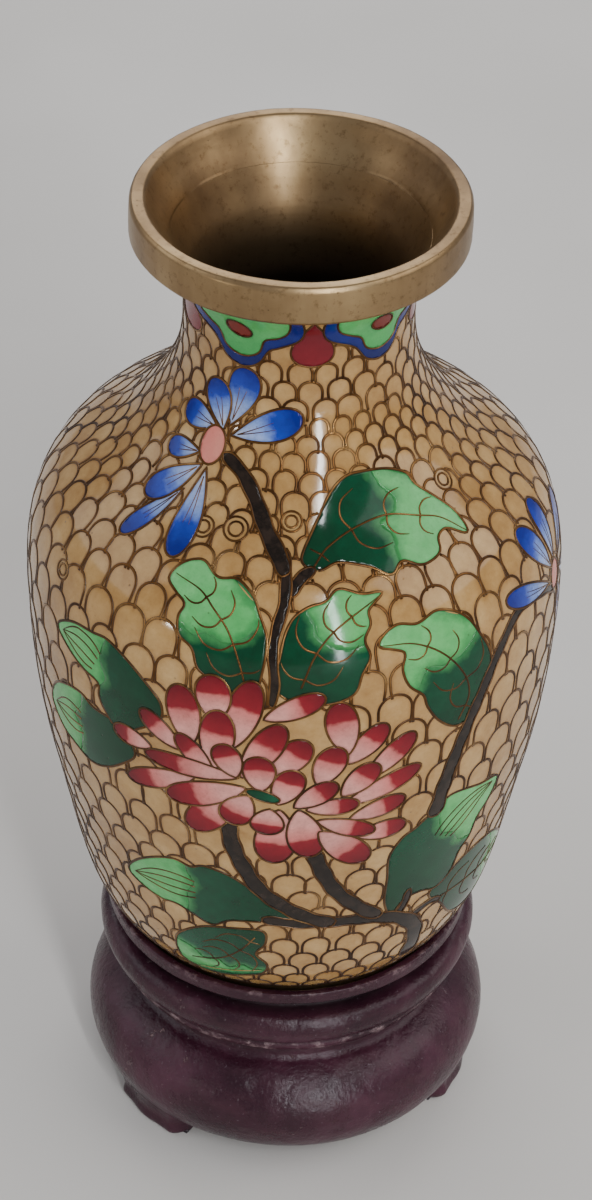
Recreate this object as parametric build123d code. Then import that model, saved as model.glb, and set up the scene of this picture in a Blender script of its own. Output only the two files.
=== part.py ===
from build123d import *
from functools import cached_property
from math import asin, cos, pi, radians, sin
import os

# Cloisonne vase on its turned wooden stand. Millimetres, +Z up. The origin is on the table plane,
# on the axis of the vase. The side with the large flower faces -Y. An azimuth is counted from that
# front, positive towards +X, so the point at azimuth a and radius r is (r sin a, -r cos a).

# ---- driving dimensions: the vase ----
JUNCTION_Z = 40.0          # where the enamel meets the lip of the stand
NECK_TOP_Z = 165.8         # underside of the mouth ring's band
MOUTH_Z = 172.0            # top of the mouth ring
MOUTH_R = 25.0             # outside of the mouth ring
MOUTH_WALL = 2.4           # width of the mouth ring's flat top
ENAMEL = 0.8               # thickness of the enamel layer, which is also the height of its wires
BOND = 0.02                # hairline between enamel and copper, and under the glued feet
COPPER = 1.2               # wall of the spun copper body
LINING = 0.4               # counter-enamel inside the belly
WIRE = 0.45                # thickness of a flattened wire, seen from outside
BELLY_SEAM_Z = 104.0       # brazed seam at the widest point
NECK_SEAM_Z = 141.0        # brazed seam at the root of the neck
THROAT_R = 14.9            # bare copper bore of the neck
THROAT_Z = (149.0, 157.0)
THROAT_WALL = 0.9
FOOT_R = 28.2              # brass foot ring, standing in the stand's recess
FOOT_H = 2.9
FOOT_WALL = 1.6
PLATE = 1.0                # copper plate that closes the foot
PLATE_R = 26.55

# Outside of the enamel: radius and height above the junction, foot to mouth.
PROFILE = [
    (28.6, 0.0), (31.9, 4.5), (34.9, 14.0), (37.6, 28.0), (40.1, 42.0), (41.4, 57.0), (41.5, 69.0),
    (40.4, 76.5), (37.6, 82.5), (33.0, 87.2), (27.6, 91.2), (23.0, 96.2), (19.3, 102.2), (17.5, 108.0),
    (17.1, 113.0), (17.4, 118.0), (18.8, 122.6), (20.8, 125.8),
]

# ---- driving dimensions: the stand ----
RECESS_R = 28.9
RECESS_Z = 37.0            # floor of the recess that the foot ring stands on
LIP_R = 30.2
LIP_Z = 39.3
GROOVE_R = 27.6
GROOVE_Z = 34.8
BEAD_R = 31.6
FILLET_R = 29.7
COVE_R = 26.2
TORUS_R = 34.0             # outside of the big rounded ring
TORUS_Z = 11.2
TORUS_A = 9.4              # half width of the ring's section
TORUS_B = 10.0             # half height of the ring's section
UNDERSIDE_Z = 1.6
HOLLOW_R = 17.0
FOOT_COUNT = 3
FOOT_AZIMUTH = -48.0
FOOT_SPAN = 30.0           # degrees of the ring that one foot covers

# ---- the pattern in the enamel, as azimuth in degrees and height in mm ----
FLOWER_EYE = (-5.0, 92.0)
FLOWER_SHIFT = (2.0, 3.0)  # from the eye to the middle of the outer ring of petals
# petals, first angle, inner and outer half width, inner and outer half height, petal width
FLOWER_RINGS = [
    (14, 6.0, 15.5, 24.0, 11.0, 17.5, 5.4),
    (9, 20.0, 7.8, 14.4, 5.6, 10.2, 4.4),
    (5, 0.0, 2.9, 6.7, 2.3, 4.8, 2.7),
]
FLOWER_EYE_SIZE = (2.0, 1.3)
PETAL_SLIM = 0.62          # a petal is never wider than this share of its length

# Each leaf runs from its base to its tip: azimuth, height, azimuth, height, width.
LEAVES = [
    (4.0, 129.5, 48.0, 130.5, 11.0), (-10.0, 116.0, -30.0, 126.0, 10.0), (2.0, 116.0, 20.0, 125.5, 8.0),
    (40.0, 104.5, 21.0, 120.0, 12.0), (-33.0, 106.5, -56.0, 110.5, 7.0), (-44.0, 88.5, -62.0, 93.0, 7.0),
    (-14.0, 69.0, -41.0, 65.0, 8.5), (-8.0, 55.0, -31.0, 48.0, 8.0), (31.0, 64.5, 50.0, 80.0, 10.0),
    (43.0, 58.0, 68.0, 63.0, 7.0), (190.0, 112.0, 212.0, 118.0, 9.0), (168.0, 106.0, 148.0, 113.0, 8.0),
]

# Each blue blossom: its centre, then the tips of its petals.
BLOSSOMS = [
    ((-36.0, 139.2), [(-46.0, 149.0), (-22.0, 150.5), (2.0, 145.0), (-60.0, 141.0), (-54.0, 130.0), (-32.0, 128.5)]),
    ((76.0, 113.0), [(62.0, 122.0), (76.0, 124.0), (90.0, 119.0), (91.0, 108.0), (58.0, 111.0)]),
    ((180.0, 127.0), [(164.0, 133.0), (183.0, 137.0), (200.0, 129.0), (190.0, 117.0), (166.0, 119.0)]),
]
BLOSSOM_CENTRE = (2.2, 2.7)
BLOSSOM_PETAL_W = 4.0
BLOSSOM_PETAL_START = 0.4  # share of the way from the blossom's centre to a petal's tip

# Each branch: its width and the points it runs through.
BRANCHES = [
    (1.5, [(-21.0, 134.0), (-12.0, 131.0), (-3.0, 126.0), (-4.0, 117.0)]),
    (1.7, [(69.0, 106.0), (53.0, 101.0), (44.0, 91.0), (37.0, 84.0)]),
    (2.2, [(-10.0, 73.0), (-3.0, 65.0), (8.0, 61.0), (20.0, 58.5)]),
    (2.2, [(7.0, 73.5), (12.0, 67.5), (20.0, 62.5)]),
    (1.7, [(179.0, 115.0), (176.0, 103.0), (178.0, 90.0), (184.0, 76.0)]),
]

LAPPETS = 5
LAPPET_AZIMUTH = -29.0     # middle of the first lappet
LAPPET_Z = 158.0
LAPPET_BORDER = 1.3
DROP_Z = 156.6


def shifted_profile(depth):
    """Points of the outside profile moved inwards by depth, square to the curve."""
    points = []
    last = len(PROFILE) - 1
    for i, (r, h) in enumerate(PROFILE):
        before = PROFILE[max(i - 1, 0)]
        after = PROFILE[min(i + 1, last)]
        run = after[0] - before[0]
        rise = after[1] - before[1]
        length = (run * run + rise * rise) ** 0.5
        keep_height = i in (0, last)
        slope = 0.0 if keep_height else run / length
        across = 1.0 if keep_height else rise / length
        points.append((r - depth * across, JUNCTION_Z + h + depth * slope))
    return points


def revolved(face):
    """Turn a face drawn in the YZ plane about Z; the seam falls at the back of the vase."""
    return revolve(face, axis=Axis.Z, revolution_arc=360)


def layer(outer_depth, inner_depth):
    """Shell between two depths under the outside profile, foot to mouth."""
    outer = shifted_profile(outer_depth)
    inner = shifted_profile(inner_depth)
    with BuildSketch(Plane.YZ) as section:
        with BuildLine():
            Spline(*outer)
            Line(outer[-1], inner[-1])
            Spline(*reversed(inner))
            Line(inner[0], outer[0])
        make_face()
    return revolved(section.sketch)


def turned(points):
    """Body of revolution from a closed polygon of radius and height."""
    with BuildSketch(Plane.YZ) as section:
        with BuildLine():
            Polyline(*points, close=True)
        make_face()
    return revolved(section.sketch)


def slab(low, high, reach=60.0):
    """Box that holds everything between two heights."""
    return Pos(0, 0, (low + high) / 2) * Box(2 * reach, 2 * reach, high - low)


def surface_radius(height):
    """Radius of the enamel's outside at a height, straight between the profile's points."""
    for (r0, h0), (r1, h1) in zip(PROFILE, PROFILE[1:]):
        if h0 <= height - JUNCTION_Z <= h1:
            return r0 + (r1 - r0) * (height - JUNCTION_Z - h0) / (h1 - h0)
    return PROFILE[-1][0]


def surface_point(azimuth, height):
    a = radians(azimuth)
    r = surface_radius(height)
    return Vector(r * sin(a), -r * cos(a), height)


def surface_plane(start, end):
    """Plane that touches the surface half way from start to end, with Y running from start to end."""
    azimuth = (start[0] + end[0]) / 2
    height = (start[1] + end[1]) / 2
    a = radians(azimuth)
    step = 1.5
    slope = (surface_radius(height + step) - surface_radius(height - step)) / (2 * step)
    normal = Vector(sin(a), -cos(a), -slope).normalized()
    along = surface_point(*end) - surface_point(*start)
    along = (along - normal * along.dot(normal)).normalized()
    return Plane(origin=surface_point(azimuth, height), x_dir=along.cross(normal), z_dir=normal)


def span(start, end):
    return (surface_point(*end) - surface_point(*start)).length


class Cell:
    """One closed figure of wires with its fills of enamel, drawn flat and set on the surface."""

    def __init__(self, plane, outline, fills):
        self.plane = plane
        self.outline = outline
        self.fills = fills

    def prism(self, sketch, depth=3.5):
        return extrude(self.plane * sketch, amount=depth, both=True)

    @cached_property
    def block(self):
        return self.prism(self.outline)

    def near(self, other, reach=24.0):
        return (self.plane.origin - other.plane.origin).length < reach


def teardrop(length, width, grow=0.0):
    """Petal with a point at the bottom and a round tip at the top, centred on its length."""
    radius = width / 2
    centre = length / 2 - radius
    half_angle = asin(radius / (length - radius))
    point = -length / 2 - grow / sin(half_angle)
    radius += grow
    touch = (radius * cos(half_angle), centre - radius * sin(half_angle))
    with BuildSketch() as shape:
        with BuildLine():
            Line((0, point), touch)
            ThreePointArc(touch, (0, centre + radius), (-touch[0], touch[1]))
            Line((-touch[0], touch[1]), (0, point))
        make_face()
    return shape.sketch


def leaf_shape(length, width, grow=0.0):
    """Leaf between two equal arcs, centred on its length."""
    half = length / 2 + 1.6 * grow
    side = width / 2 + grow
    with BuildSketch() as shape:
        with BuildLine():
            ThreePointArc((0, -half), (side, 0), (0, half))
            ThreePointArc((0, half), (-side, 0), (0, -half))
        make_face()
    return shape.sketch


def above(height, reach=60.0):
    return Pos(0, height + reach / 2) * Rectangle(reach, reach)


def petal_cell(node, start, end, widest):
    length = span(start, end)
    width = min(widest, PETAL_SLIM * length)
    return Cell(surface_plane(start, end), teardrop(length, width, WIRE), {node: teardrop(length, width)})


def oval_cell(node, centre, half_width, half_height):
    plane = surface_plane((centre[0], centre[1] - 1), (centre[0], centre[1] + 1))
    outline = Ellipse(half_width + WIRE, half_height + WIRE)
    return Cell(plane, outline, {node: Ellipse(half_width, half_height)})


def leaf_cell(base, tip, width):
    """Leaf in two colours, dark at its base and light at its tip, parted by a wire."""
    length = span(base, tip)
    whole = leaf_shape(length, width)
    parting = length * 0.08
    fills = {"leaf_dark": whole - above(parting), "leaf_light": whole & above(parting + WIRE)}
    return Cell(surface_plane(base, tip), leaf_shape(length, width, WIRE), fills)


def branch_cell(width, start, end):
    length = span(start, end) - 2.2 * WIRE
    outline = Rectangle(width + 2 * WIRE, length + 2 * WIRE)
    return Cell(surface_plane(start, end), outline, {"branches": Rectangle(width, length)})


def cloud(grow=0.0):
    """Cloud-collar lobe that hangs from the mouth: a big middle lobe and two small side lobes."""
    side = Circle(2.5 + grow)
    return Pos(0, -0.9) * Circle(4.6 + grow) + Pos(-5.4, 1.7) * side + Pos(5.4, 1.7) * side


def lappet_cell(azimuth):
    """Blue border, green field and a red oval, each inside its own wire."""
    plane = surface_plane((azimuth, LAPPET_Z - 1), (azimuth, LAPPET_Z + 1))
    fills = {
        "lappet_borders": cloud(LAPPET_BORDER) - cloud(WIRE),
        "lappet_fields": cloud() - Ellipse(2.0 + WIRE, 1.3 + WIRE),
        "lappet_ovals": Ellipse(2.0, 1.3),
    }
    return Cell(plane, cloud(LAPPET_BORDER + WIRE), fills)


def flower_cells():
    """The eye of the large flower, then rings of petals round it."""
    cells = [oval_cell("flower_eye", FLOWER_EYE, *FLOWER_EYE_SIZE)]
    per_degree = surface_radius(FLOWER_EYE[1]) * pi / 180
    for ring, (count, first, in_w, out_w, in_h, out_h, width) in enumerate(FLOWER_RINGS):
        share = 1.0 - ring / (len(FLOWER_RINGS) - 1)
        centre = (FLOWER_EYE[0] + share * FLOWER_SHIFT[0], FLOWER_EYE[1] + share * FLOWER_SHIFT[1])
        for i in range(count):
            angle = radians(first + 360.0 * i / count)
            start = (centre[0] + in_w * cos(angle) / per_degree, centre[1] + in_h * sin(angle))
            end = (centre[0] + out_w * cos(angle) / per_degree, centre[1] + out_h * sin(angle))
            cells.append(petal_cell("flower_petals", start, end, width))
    return cells


def blossom_cells():
    cells = []
    for centre, tips in BLOSSOMS:
        cells.append(oval_cell("blossom_centres", centre, *BLOSSOM_CENTRE))
        for tip in tips:
            start = tuple(c + BLOSSOM_PETAL_START * (t - c) for c, t in zip(centre, tip))
            cells.append(petal_cell("blossom_petals", start, tip, BLOSSOM_PETAL_W))
    return cells


def leaf_cells():
    return [leaf_cell((a0, z0), (a1, z1), width) for a0, z0, a1, z1, width in LEAVES]


def branch_cells():
    cells = []
    for width, points in BRANCHES:
        cells += [branch_cell(width, start, end) for start, end in zip(points, points[1:])]
    return cells


def collar_cells():
    step = 360.0 / LAPPETS
    cells = [lappet_cell(LAPPET_AZIMUTH + step * i) for i in range(LAPPETS)]
    for i in range(LAPPETS):
        azimuth = LAPPET_AZIMUTH + step * (i + 0.5)
        cells.append(petal_cell("lappet_drops", (azimuth, DROP_Z + 3.0), (azimuth, DROP_Z - 3.0), 4.2))
    return cells


# Groups in order of claim: where two figures would meet, the earlier one keeps the place.
GROUPS = [
    ("collar_wires", collar_cells), ("flower_wires", flower_cells), ("blossom_wires", blossom_cells),
    ("leaf_wires", leaf_cells), ("branch_wires", branch_cells),
]


def carve(prism, taken, shell, least=0.02):
    """The part of a prism that no earlier figure holds, cut to the enamel layer."""
    free = prism - taken if taken else prism
    return [solid for solid in (free & shell).solids() if solid.volume > least]


def carve_group(group):
    """Make one group's enamel and wires and write a STEP file for each of its nodes."""
    wire_node, make_cells = GROUPS[group]
    shell = layer(0, ENAMEL)
    earlier = [cell for _, make_earlier in GROUPS[:group] for cell in make_earlier()]
    nodes = {wire_node: []}
    for cell in make_cells():
        taken = [other.block for other in earlier if cell.near(other)]
        wires = cell.outline
        for node, sketch in cell.fills.items():
            wires = wires - sketch
            nodes.setdefault(node, []).extend(carve(cell.prism(sketch), taken, shell))
        nodes[wire_node].extend(carve(cell.prism(wires), taken, shell))
        earlier.append(cell)
    for node, solids in nodes.items():
        save(node, solids)


def carve_ground():
    """The ground is the layer with every figure cut out of it."""
    blocks = [cell.block for _, make_cells in GROUPS for cell in make_cells()]
    save("ground_enamel", layer(0, ENAMEL) - blocks)


def vase_shells():
    """Three copper spinnings, brazed at their seams; the neck has a bored throat."""
    whole = layer(ENAMEL + BOND, ENAMEL + COPPER)
    belly = whole & slab(JUNCTION_Z, BELLY_SEAM_Z)
    shoulder = whole & slab(BELLY_SEAM_Z, NECK_SEAM_Z)
    neck = whole & slab(NECK_SEAM_Z, NECK_TOP_Z)
    low, high = THROAT_Z
    neck = neck + (disc(THROAT_R + THROAT_WALL, low, high) - disc(THROAT_R, low, high))
    return belly, shoulder, neck


def mouth_ring():
    """Turned brass ring: a plain band outside, a flat lip and a funnel that runs down to the neck."""
    funnel_r = PROFILE[-1][0] - ENAMEL - COPPER
    lip_r = MOUTH_R - MOUTH_WALL
    middle = ((funnel_r + lip_r) / 2 - 0.35, (NECK_TOP_Z + MOUTH_Z) / 2)
    with BuildSketch(Plane.YZ) as section:
        with BuildLine():
            Polyline((funnel_r, NECK_TOP_Z), (MOUTH_R - 0.6, NECK_TOP_Z), (MOUTH_R, NECK_TOP_Z + 0.6),
                     (MOUTH_R, MOUTH_Z - 0.5), (MOUTH_R - 0.5, MOUTH_Z), (lip_r, MOUTH_Z))
            Spline((lip_r, MOUTH_Z), middle, (funnel_r, NECK_TOP_Z))
        make_face()
    return revolved(section.sketch)


def inside_lining():
    """Counter-enamel on the inside of the belly and shoulder."""
    return layer(ENAMEL + COPPER, ENAMEL + COPPER + LINING) & slab(JUNCTION_Z + PLATE + 0.5, NECK_SEAM_Z)


def stand_body():
    """Turned ring stand: recess, thin lip, groove, bead, fillet, cove and one big rounded ring."""
    ring_mid = TORUS_R - TORUS_A
    with BuildSketch(Plane.YZ) as section:
        with BuildLine():
            Polyline((0, RECESS_Z), (RECESS_R, RECESS_Z), (RECESS_R, LIP_Z), (LIP_R, LIP_Z),
                     (LIP_R, LIP_Z - 2.4), (GROOVE_R, GROOVE_Z + 0.8), (GROOVE_R, GROOVE_Z - 0.8))
            Spline((GROOVE_R, GROOVE_Z - 0.8), (BEAD_R - 0.9, GROOVE_Z - 1.9), (BEAD_R, GROOVE_Z - 4.4),
                   (FILLET_R - 0.5, GROOVE_Z - 7.0), tangents=[(1, 0.1), (-0.8, -1)])
            Polyline((FILLET_R - 0.5, GROOVE_Z - 7.0), (FILLET_R, GROOVE_Z - 7.4), (FILLET_R, GROOVE_Z - 8.6),
                     (COVE_R, GROOVE_Z - 9.4))
            Spline((COVE_R, GROOVE_Z - 9.4), (COVE_R - 1.0, TORUS_Z + TORUS_B + 1.6),
                   (ring_mid + 2.2, TORUS_Z + TORUS_B - 0.28))
            Spline((ring_mid + 2.2, TORUS_Z + TORUS_B - 0.28), (TORUS_R - 2.2, TORUS_Z + TORUS_B * 0.64),
                   (TORUS_R, TORUS_Z), (TORUS_R - 2.2, TORUS_Z - TORUS_B * 0.64), (ring_mid + 1.6, UNDERSIDE_Z))
            Polyline((ring_mid + 1.6, UNDERSIDE_Z), (HOLLOW_R, UNDERSIDE_Z), (HOLLOW_R - 2.5, UNDERSIDE_Z + 4.5),
                     (0, UNDERSIDE_Z + 5.5), (0, RECESS_Z))
        make_face()
    return revolved(section.sketch)


def stand_feet(body):
    """Low carved feet under the big ring, each following its curve and turning out at the toe."""
    section_points = [(22.5, 6.5), (22.5, 0.0), (31.2, 0.0), (31.8, 0.8), (31.5, 2.6), (32.6, 6.2), (30.4, 8.0)]
    with BuildSketch(Plane.YZ) as section:
        with BuildLine():
            Polyline(*section_points, close=True)
        make_face()
    swept = revolve(section.sketch, axis=Axis.Z, revolution_arc=FOOT_SPAN) - Pos(0, 0, -BOND) * body
    foot = max(swept.solids(), key=lambda solid: solid.volume)
    middle = 90.0 + FOOT_SPAN / 2
    azimuths = [FOOT_AZIMUTH + 360.0 / FOOT_COUNT * i for i in range(FOOT_COUNT)]
    return [Rot(0, 0, azimuth - 90.0 - middle) * foot for azimuth in azimuths]


def save(name, shape):
    solids = shape if isinstance(shape, list) else shape.solids()
    export_step(Compound(label=name, children=list(solids)), f"parts/{name}.step")


def disc(radius, low, high):
    return Pos(0, 0, low) * Cylinder(radius, high - low, align=(Align.CENTER, Align.CENTER, Align.MIN))


def metal_and_wood():
    body = stand_body()
    save("stand_body", body)
    save("stand_feet", stand_feet(body))
    belly, shoulder, neck = vase_shells()
    save("belly_shell", belly)
    save("shoulder_shell", shoulder)
    save("neck_shell", neck)
    save("mouth_ring", mouth_ring())
    save("inner_lining", inside_lining())
    save("base_plate", disc(PLATE_R, JUNCTION_Z, JUNCTION_Z + PLATE))
    low = JUNCTION_Z - FOOT_H
    inner = FOOT_R - FOOT_WALL
    save("foot_ring", disc(FOOT_R, low, JUNCTION_Z) - disc(inner, low, JUNCTION_Z))
    save("base_enamel", disc(inner, JUNCTION_Z - LINING, JUNCTION_Z))


def main():
    os.makedirs("parts", exist_ok=True)
    metal_and_wood()
    for group in range(len(GROUPS)):
        carve_group(group)
    carve_ground()


if __name__ == "__main__":
    main()
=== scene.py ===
"""Cloisonne vase on its turned wooden stand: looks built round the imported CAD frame.

Lengths in this script are millimetres and become metres only when a mesh is made. A place on the
vase is an azimuth in degrees, counted from the front (-Y) towards +X, and a height above the table.
"""

import math
import random

import bpy
import numpy as np
from mathutils import Matrix, Vector
from mathutils.bvhtree import BVHTree
from mathutils.geometry import delaunay_2d_cdt
from mathutils.kdtree import KDTree


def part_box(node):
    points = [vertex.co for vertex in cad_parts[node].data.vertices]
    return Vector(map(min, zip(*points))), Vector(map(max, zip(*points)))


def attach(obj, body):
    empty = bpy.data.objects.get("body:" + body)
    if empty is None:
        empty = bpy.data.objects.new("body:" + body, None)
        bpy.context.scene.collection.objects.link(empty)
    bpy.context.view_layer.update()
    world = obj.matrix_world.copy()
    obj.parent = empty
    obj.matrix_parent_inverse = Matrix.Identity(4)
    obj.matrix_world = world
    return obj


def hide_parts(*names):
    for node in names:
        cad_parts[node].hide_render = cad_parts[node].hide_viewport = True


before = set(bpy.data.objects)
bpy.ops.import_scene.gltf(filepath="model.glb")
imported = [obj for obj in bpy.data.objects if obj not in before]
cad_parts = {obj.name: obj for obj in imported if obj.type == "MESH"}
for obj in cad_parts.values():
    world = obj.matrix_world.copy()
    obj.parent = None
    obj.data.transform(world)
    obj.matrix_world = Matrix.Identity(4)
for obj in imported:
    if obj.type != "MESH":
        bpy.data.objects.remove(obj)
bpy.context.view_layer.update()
rng = random.Random(11)

MM = 0.001
STEP = 0.45                # spacing of the grid inside a filled figure
FILL_LIFT = 0.05           # how far a fill stands above the ground enamel
FILL_DEPTH = 0.35          # how far a fill reaches under it
WIRE_DEPTH = 0.3           # how far a wire reaches under it
FAR = 9.0                  # distance given to a figure that no other colour meets
WIRE_W = 0.42              # width of a leaf's outline wire, seen from outside
VEIN_W = 0.34              # width of the wires inside a leaf
SCALE_WIRE_W = 0.44
BLOSSOM_WIRE_W = 0.40
PETAL_WIRE_W = 0.36        # width of the wires of the large flower and the branches


# ---- the surface of the vase

def shell_profile():
    """Radius and height of the copper's outside, read from the CAD shells by rays from the side."""
    verts = []
    faces = []
    for name in ("belly_shell", "shoulder_shell", "neck_shell"):
        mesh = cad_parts[name].data
        first = len(verts)
        verts += [v.co / MM for v in mesh.vertices]
        faces += [[first + i for i in p.vertices] for p in mesh.polygons]
    tree = BVHTree.FromPolygons(verts, faces)
    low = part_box("belly_shell")[0].z / MM
    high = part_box("neck_shell")[1].z / MM
    points = []
    for z in np.arange(low + 0.05, high - 0.02, 0.5):
        radii = []
        for turn in range(8):
            a = 0.3 + turn * math.pi / 4
            out = Vector((math.cos(a), math.sin(a), 0.0))
            hit = tree.ray_cast(out * 90 + Vector((0, 0, z)), -out)[0]
            if hit is not None:
                radii.append(math.hypot(hit.x, hit.y))
        points.append((max(radii), z))
    return np.array(points)


class Surface:
    """Outside of the enamel as a body of revolution, with arc length s along its profile."""

    def __init__(self):
        copper = shell_profile()
        kernel = np.array([1, 2, 3, 4, 3, 2, 1], float)
        kernel /= kernel.sum()
        padded = np.concatenate([np.repeat(copper[:1, 0], 3), copper[:, 0], np.repeat(copper[-1:, 0], 3)])
        r = np.convolve(padded, kernel, "valid")
        r[:2] = copper[:2, 0]
        r[-2:] = copper[-2:, 0]
        z = copper[:, 1]
        thick = (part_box("ground_enamel")[1].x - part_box("belly_shell")[1].x) / MM
        dr = np.gradient(r)
        dz = np.gradient(z)
        length = np.hypot(dr, dz)
        self.r = r + thick * dz / length
        self.z = z - thick * dr / length
        self.z[0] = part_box("ground_enamel")[0].z / MM
        self.z[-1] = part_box("ground_enamel")[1].z / MM
        step = np.hypot(np.diff(self.r), np.diff(self.z))
        self.s = np.concatenate([[0.0], np.cumsum(step)])
        self.nr = np.gradient(self.z, self.s)
        self.nz = -np.gradient(self.r, self.s)
        norm = np.hypot(self.nr, self.nz)
        self.nr /= norm
        self.nz /= norm
        self.length = self.s[-1]

    def radius(self, s):
        return np.interp(s, self.s, self.r)

    def along(self, height):
        """Arc length at a height."""
        return float(np.interp(height, self.z, self.s))

    def points(self, azimuth, s, lift=0.0):
        """Points in mm at azimuth (degrees) and arc length s, lifted along the normal."""
        a = np.radians(np.asarray(azimuth, float))
        s = np.asarray(s, float)
        r = self.radius(s) + lift * np.interp(s, self.s, self.nr)
        z = np.interp(s, self.s, self.z) + lift * np.interp(s, self.s, self.nz)
        return np.stack([r * np.sin(a), -r * np.cos(a), z], -1)


skin = Surface()


def place(azimuth, height):
    """A named place on the vase as azimuth and arc length."""
    return np.array([azimuth, skin.along(height)])


def places(points):
    return np.array([place(*p) for p in points])


# ---- curves on the surface

def smooth(points, closed=False, per_span=10):
    """Catmull-Rom curve through points given as rows."""
    p = np.asarray(points, float)
    count = len(p)
    if closed:
        p = np.concatenate([p[-1:], p, p[:2]])
    else:
        p = np.concatenate([2 * p[:1] - p[1:2], p, 2 * p[-1:] - p[-2:-1]])
        count -= 1
    t = np.linspace(0, 1, per_span, endpoint=False)[:, None]
    out = []
    for i in range(count):
        a, b, c, d = p[i:i + 4]
        out.append(0.5 * (2 * b + (c - a) * t + (2 * a - 5 * b + 4 * c - d) * t ** 2
            + (3 * b - a - 3 * c + d) * t ** 3))
    out = np.concatenate(out)
    return out if closed else np.concatenate([out, p[-2:-1]])


def resample(path, step, closed=False):
    """The same path with points about one step apart, measured in mm on the surface."""
    p = np.asarray(path, float)
    if closed:
        p = np.concatenate([p, p[:1]])
    d = np.diff(p, axis=0)
    d[:, 0] *= math.pi / 180 * skin.radius((p[:-1, 1] + p[1:, 1]) / 2)
    length = np.concatenate([[0.0], np.cumsum(np.hypot(d[:, 0], d[:, 1]))])
    count = max(int(round(length[-1] / step)), 3 if closed else 2)
    at = np.linspace(0, length[-1], count + 1)
    out = np.stack([np.interp(at, length, p[:, k]) for k in range(2)], -1)
    return out[:-1] if closed else out


def to_flat(path, origin):
    """Azimuth and arc length as mm east and up from an origin."""
    flat = np.array(path, float)
    flat[:, 0] = (flat[:, 0] - origin[0]) * math.pi / 180 * skin.radius(flat[:, 1])
    flat[:, 1] -= origin[1]
    return flat


def from_flat(flat, origin):
    path = np.array(flat, float)
    path[:, 1] += origin[1]
    path[:, 0] = origin[0] + path[:, 0] * 180 / math.pi / skin.radius(path[:, 1])
    return path


def inside(points, outline):
    """Which points lie inside a closed outline."""
    x, y = points[:, 0], points[:, 1]
    hit = np.zeros(len(points), bool)
    x1, y1 = outline[:, 0], outline[:, 1]
    x2, y2 = np.roll(x1, -1), np.roll(y1, -1)
    for a, b, c, d in zip(x1, y1, x2, y2):
        if b == d:
            continue
        crosses = ((b > y) != (d > y)) & (x < (c - a) * (y - b) / (d - b) + a)
        hit ^= crosses
    return hit


def edge_distance(points, outline):
    """Distance from each point to a closed outline, both flat."""
    best = np.full(len(points), np.inf)
    nxt = np.roll(outline, -1, axis=0)
    for a, b in zip(outline, nxt):
        d = b - a
        t = np.clip(((points - a) @ d) / max(d @ d, 1e-12), 0, 1)
        gap = points - (a + t[:, None] * d)
        best = np.minimum(best, np.hypot(gap[:, 0], gap[:, 1]))
    return best


# ---- mesh building

def put(name, data):
    """A new object in the scene."""
    made = bpy.data.objects.new(name, data)
    bpy.context.scene.collection.objects.link(made)
    return made


class Builder:
    """Collects pieces of mesh with named point values and makes one object of them."""

    def __init__(self):
        self.verts = []
        self.faces = []
        self.values = {}
        self.count = 0

    def add(self, verts, faces, **values):
        verts = np.asarray(verts, float)
        self.verts.append(verts)
        self.faces += [tuple(int(i) + self.count for i in f) for f in faces]
        for key, value in values.items():
            self.values.setdefault(key, []).append(np.broadcast_to(np.asarray(value, float), len(verts)))
        self.count += len(verts)

    def make(self, name, body, material, slot, replaces=()):
        mesh = bpy.data.meshes.new(name)
        verts = np.concatenate(self.verts) * MM
        mesh.from_pydata(verts.tolist(), [], self.faces)
        for key, value in self.values.items():
            attribute = mesh.attributes.new(key, "FLOAT", "POINT")
            attribute.data.foreach_set("value", np.concatenate(value).astype(np.float32))
        mesh.polygons.foreach_set("use_smooth", [True] * len(mesh.polygons))
        mesh.validate()
        mesh.materials.append(material)
        piece = put(name, mesh)
        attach(piece, body)
        if replaces:
            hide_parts(*replaces)


def quads(rows, columns, closed=False, flip=False):
    """Faces between neighbouring rows of points; each row is a ring of columns points."""
    faces = []
    for i in range(rows if closed else rows - 1):
        j = (i + 1) % rows
        for m in range(columns):
            n = (m + 1) % columns
            face = (i * columns + m, j * columns + m, j * columns + n, i * columns + n)
            faces.append((face[0], face[3], face[2], face[1]) if flip else face)
    return faces


taken = []                 # outlines already filled: later figures and wires stop at them


def claim(outline):
    taken.append((outline, outline.min(axis=0), outline.max(axis=0)))


def is_taken(points):
    """Which points of azimuth and arc length lie inside a claimed figure."""
    hit = np.zeros(len(points), bool)
    turned = points.copy()
    for outline, low, high in taken:
        middle = (low[0] + high[0]) / 2
        turned[:, 0] = (points[:, 0] - middle + 180) % 360 - 180 + middle
        near = (turned > low).all(axis=1) & (turned < high).all(axis=1) & ~hit
        if near.any():
            hit[near] = inside(turned[near], outline)
    return hit


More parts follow.
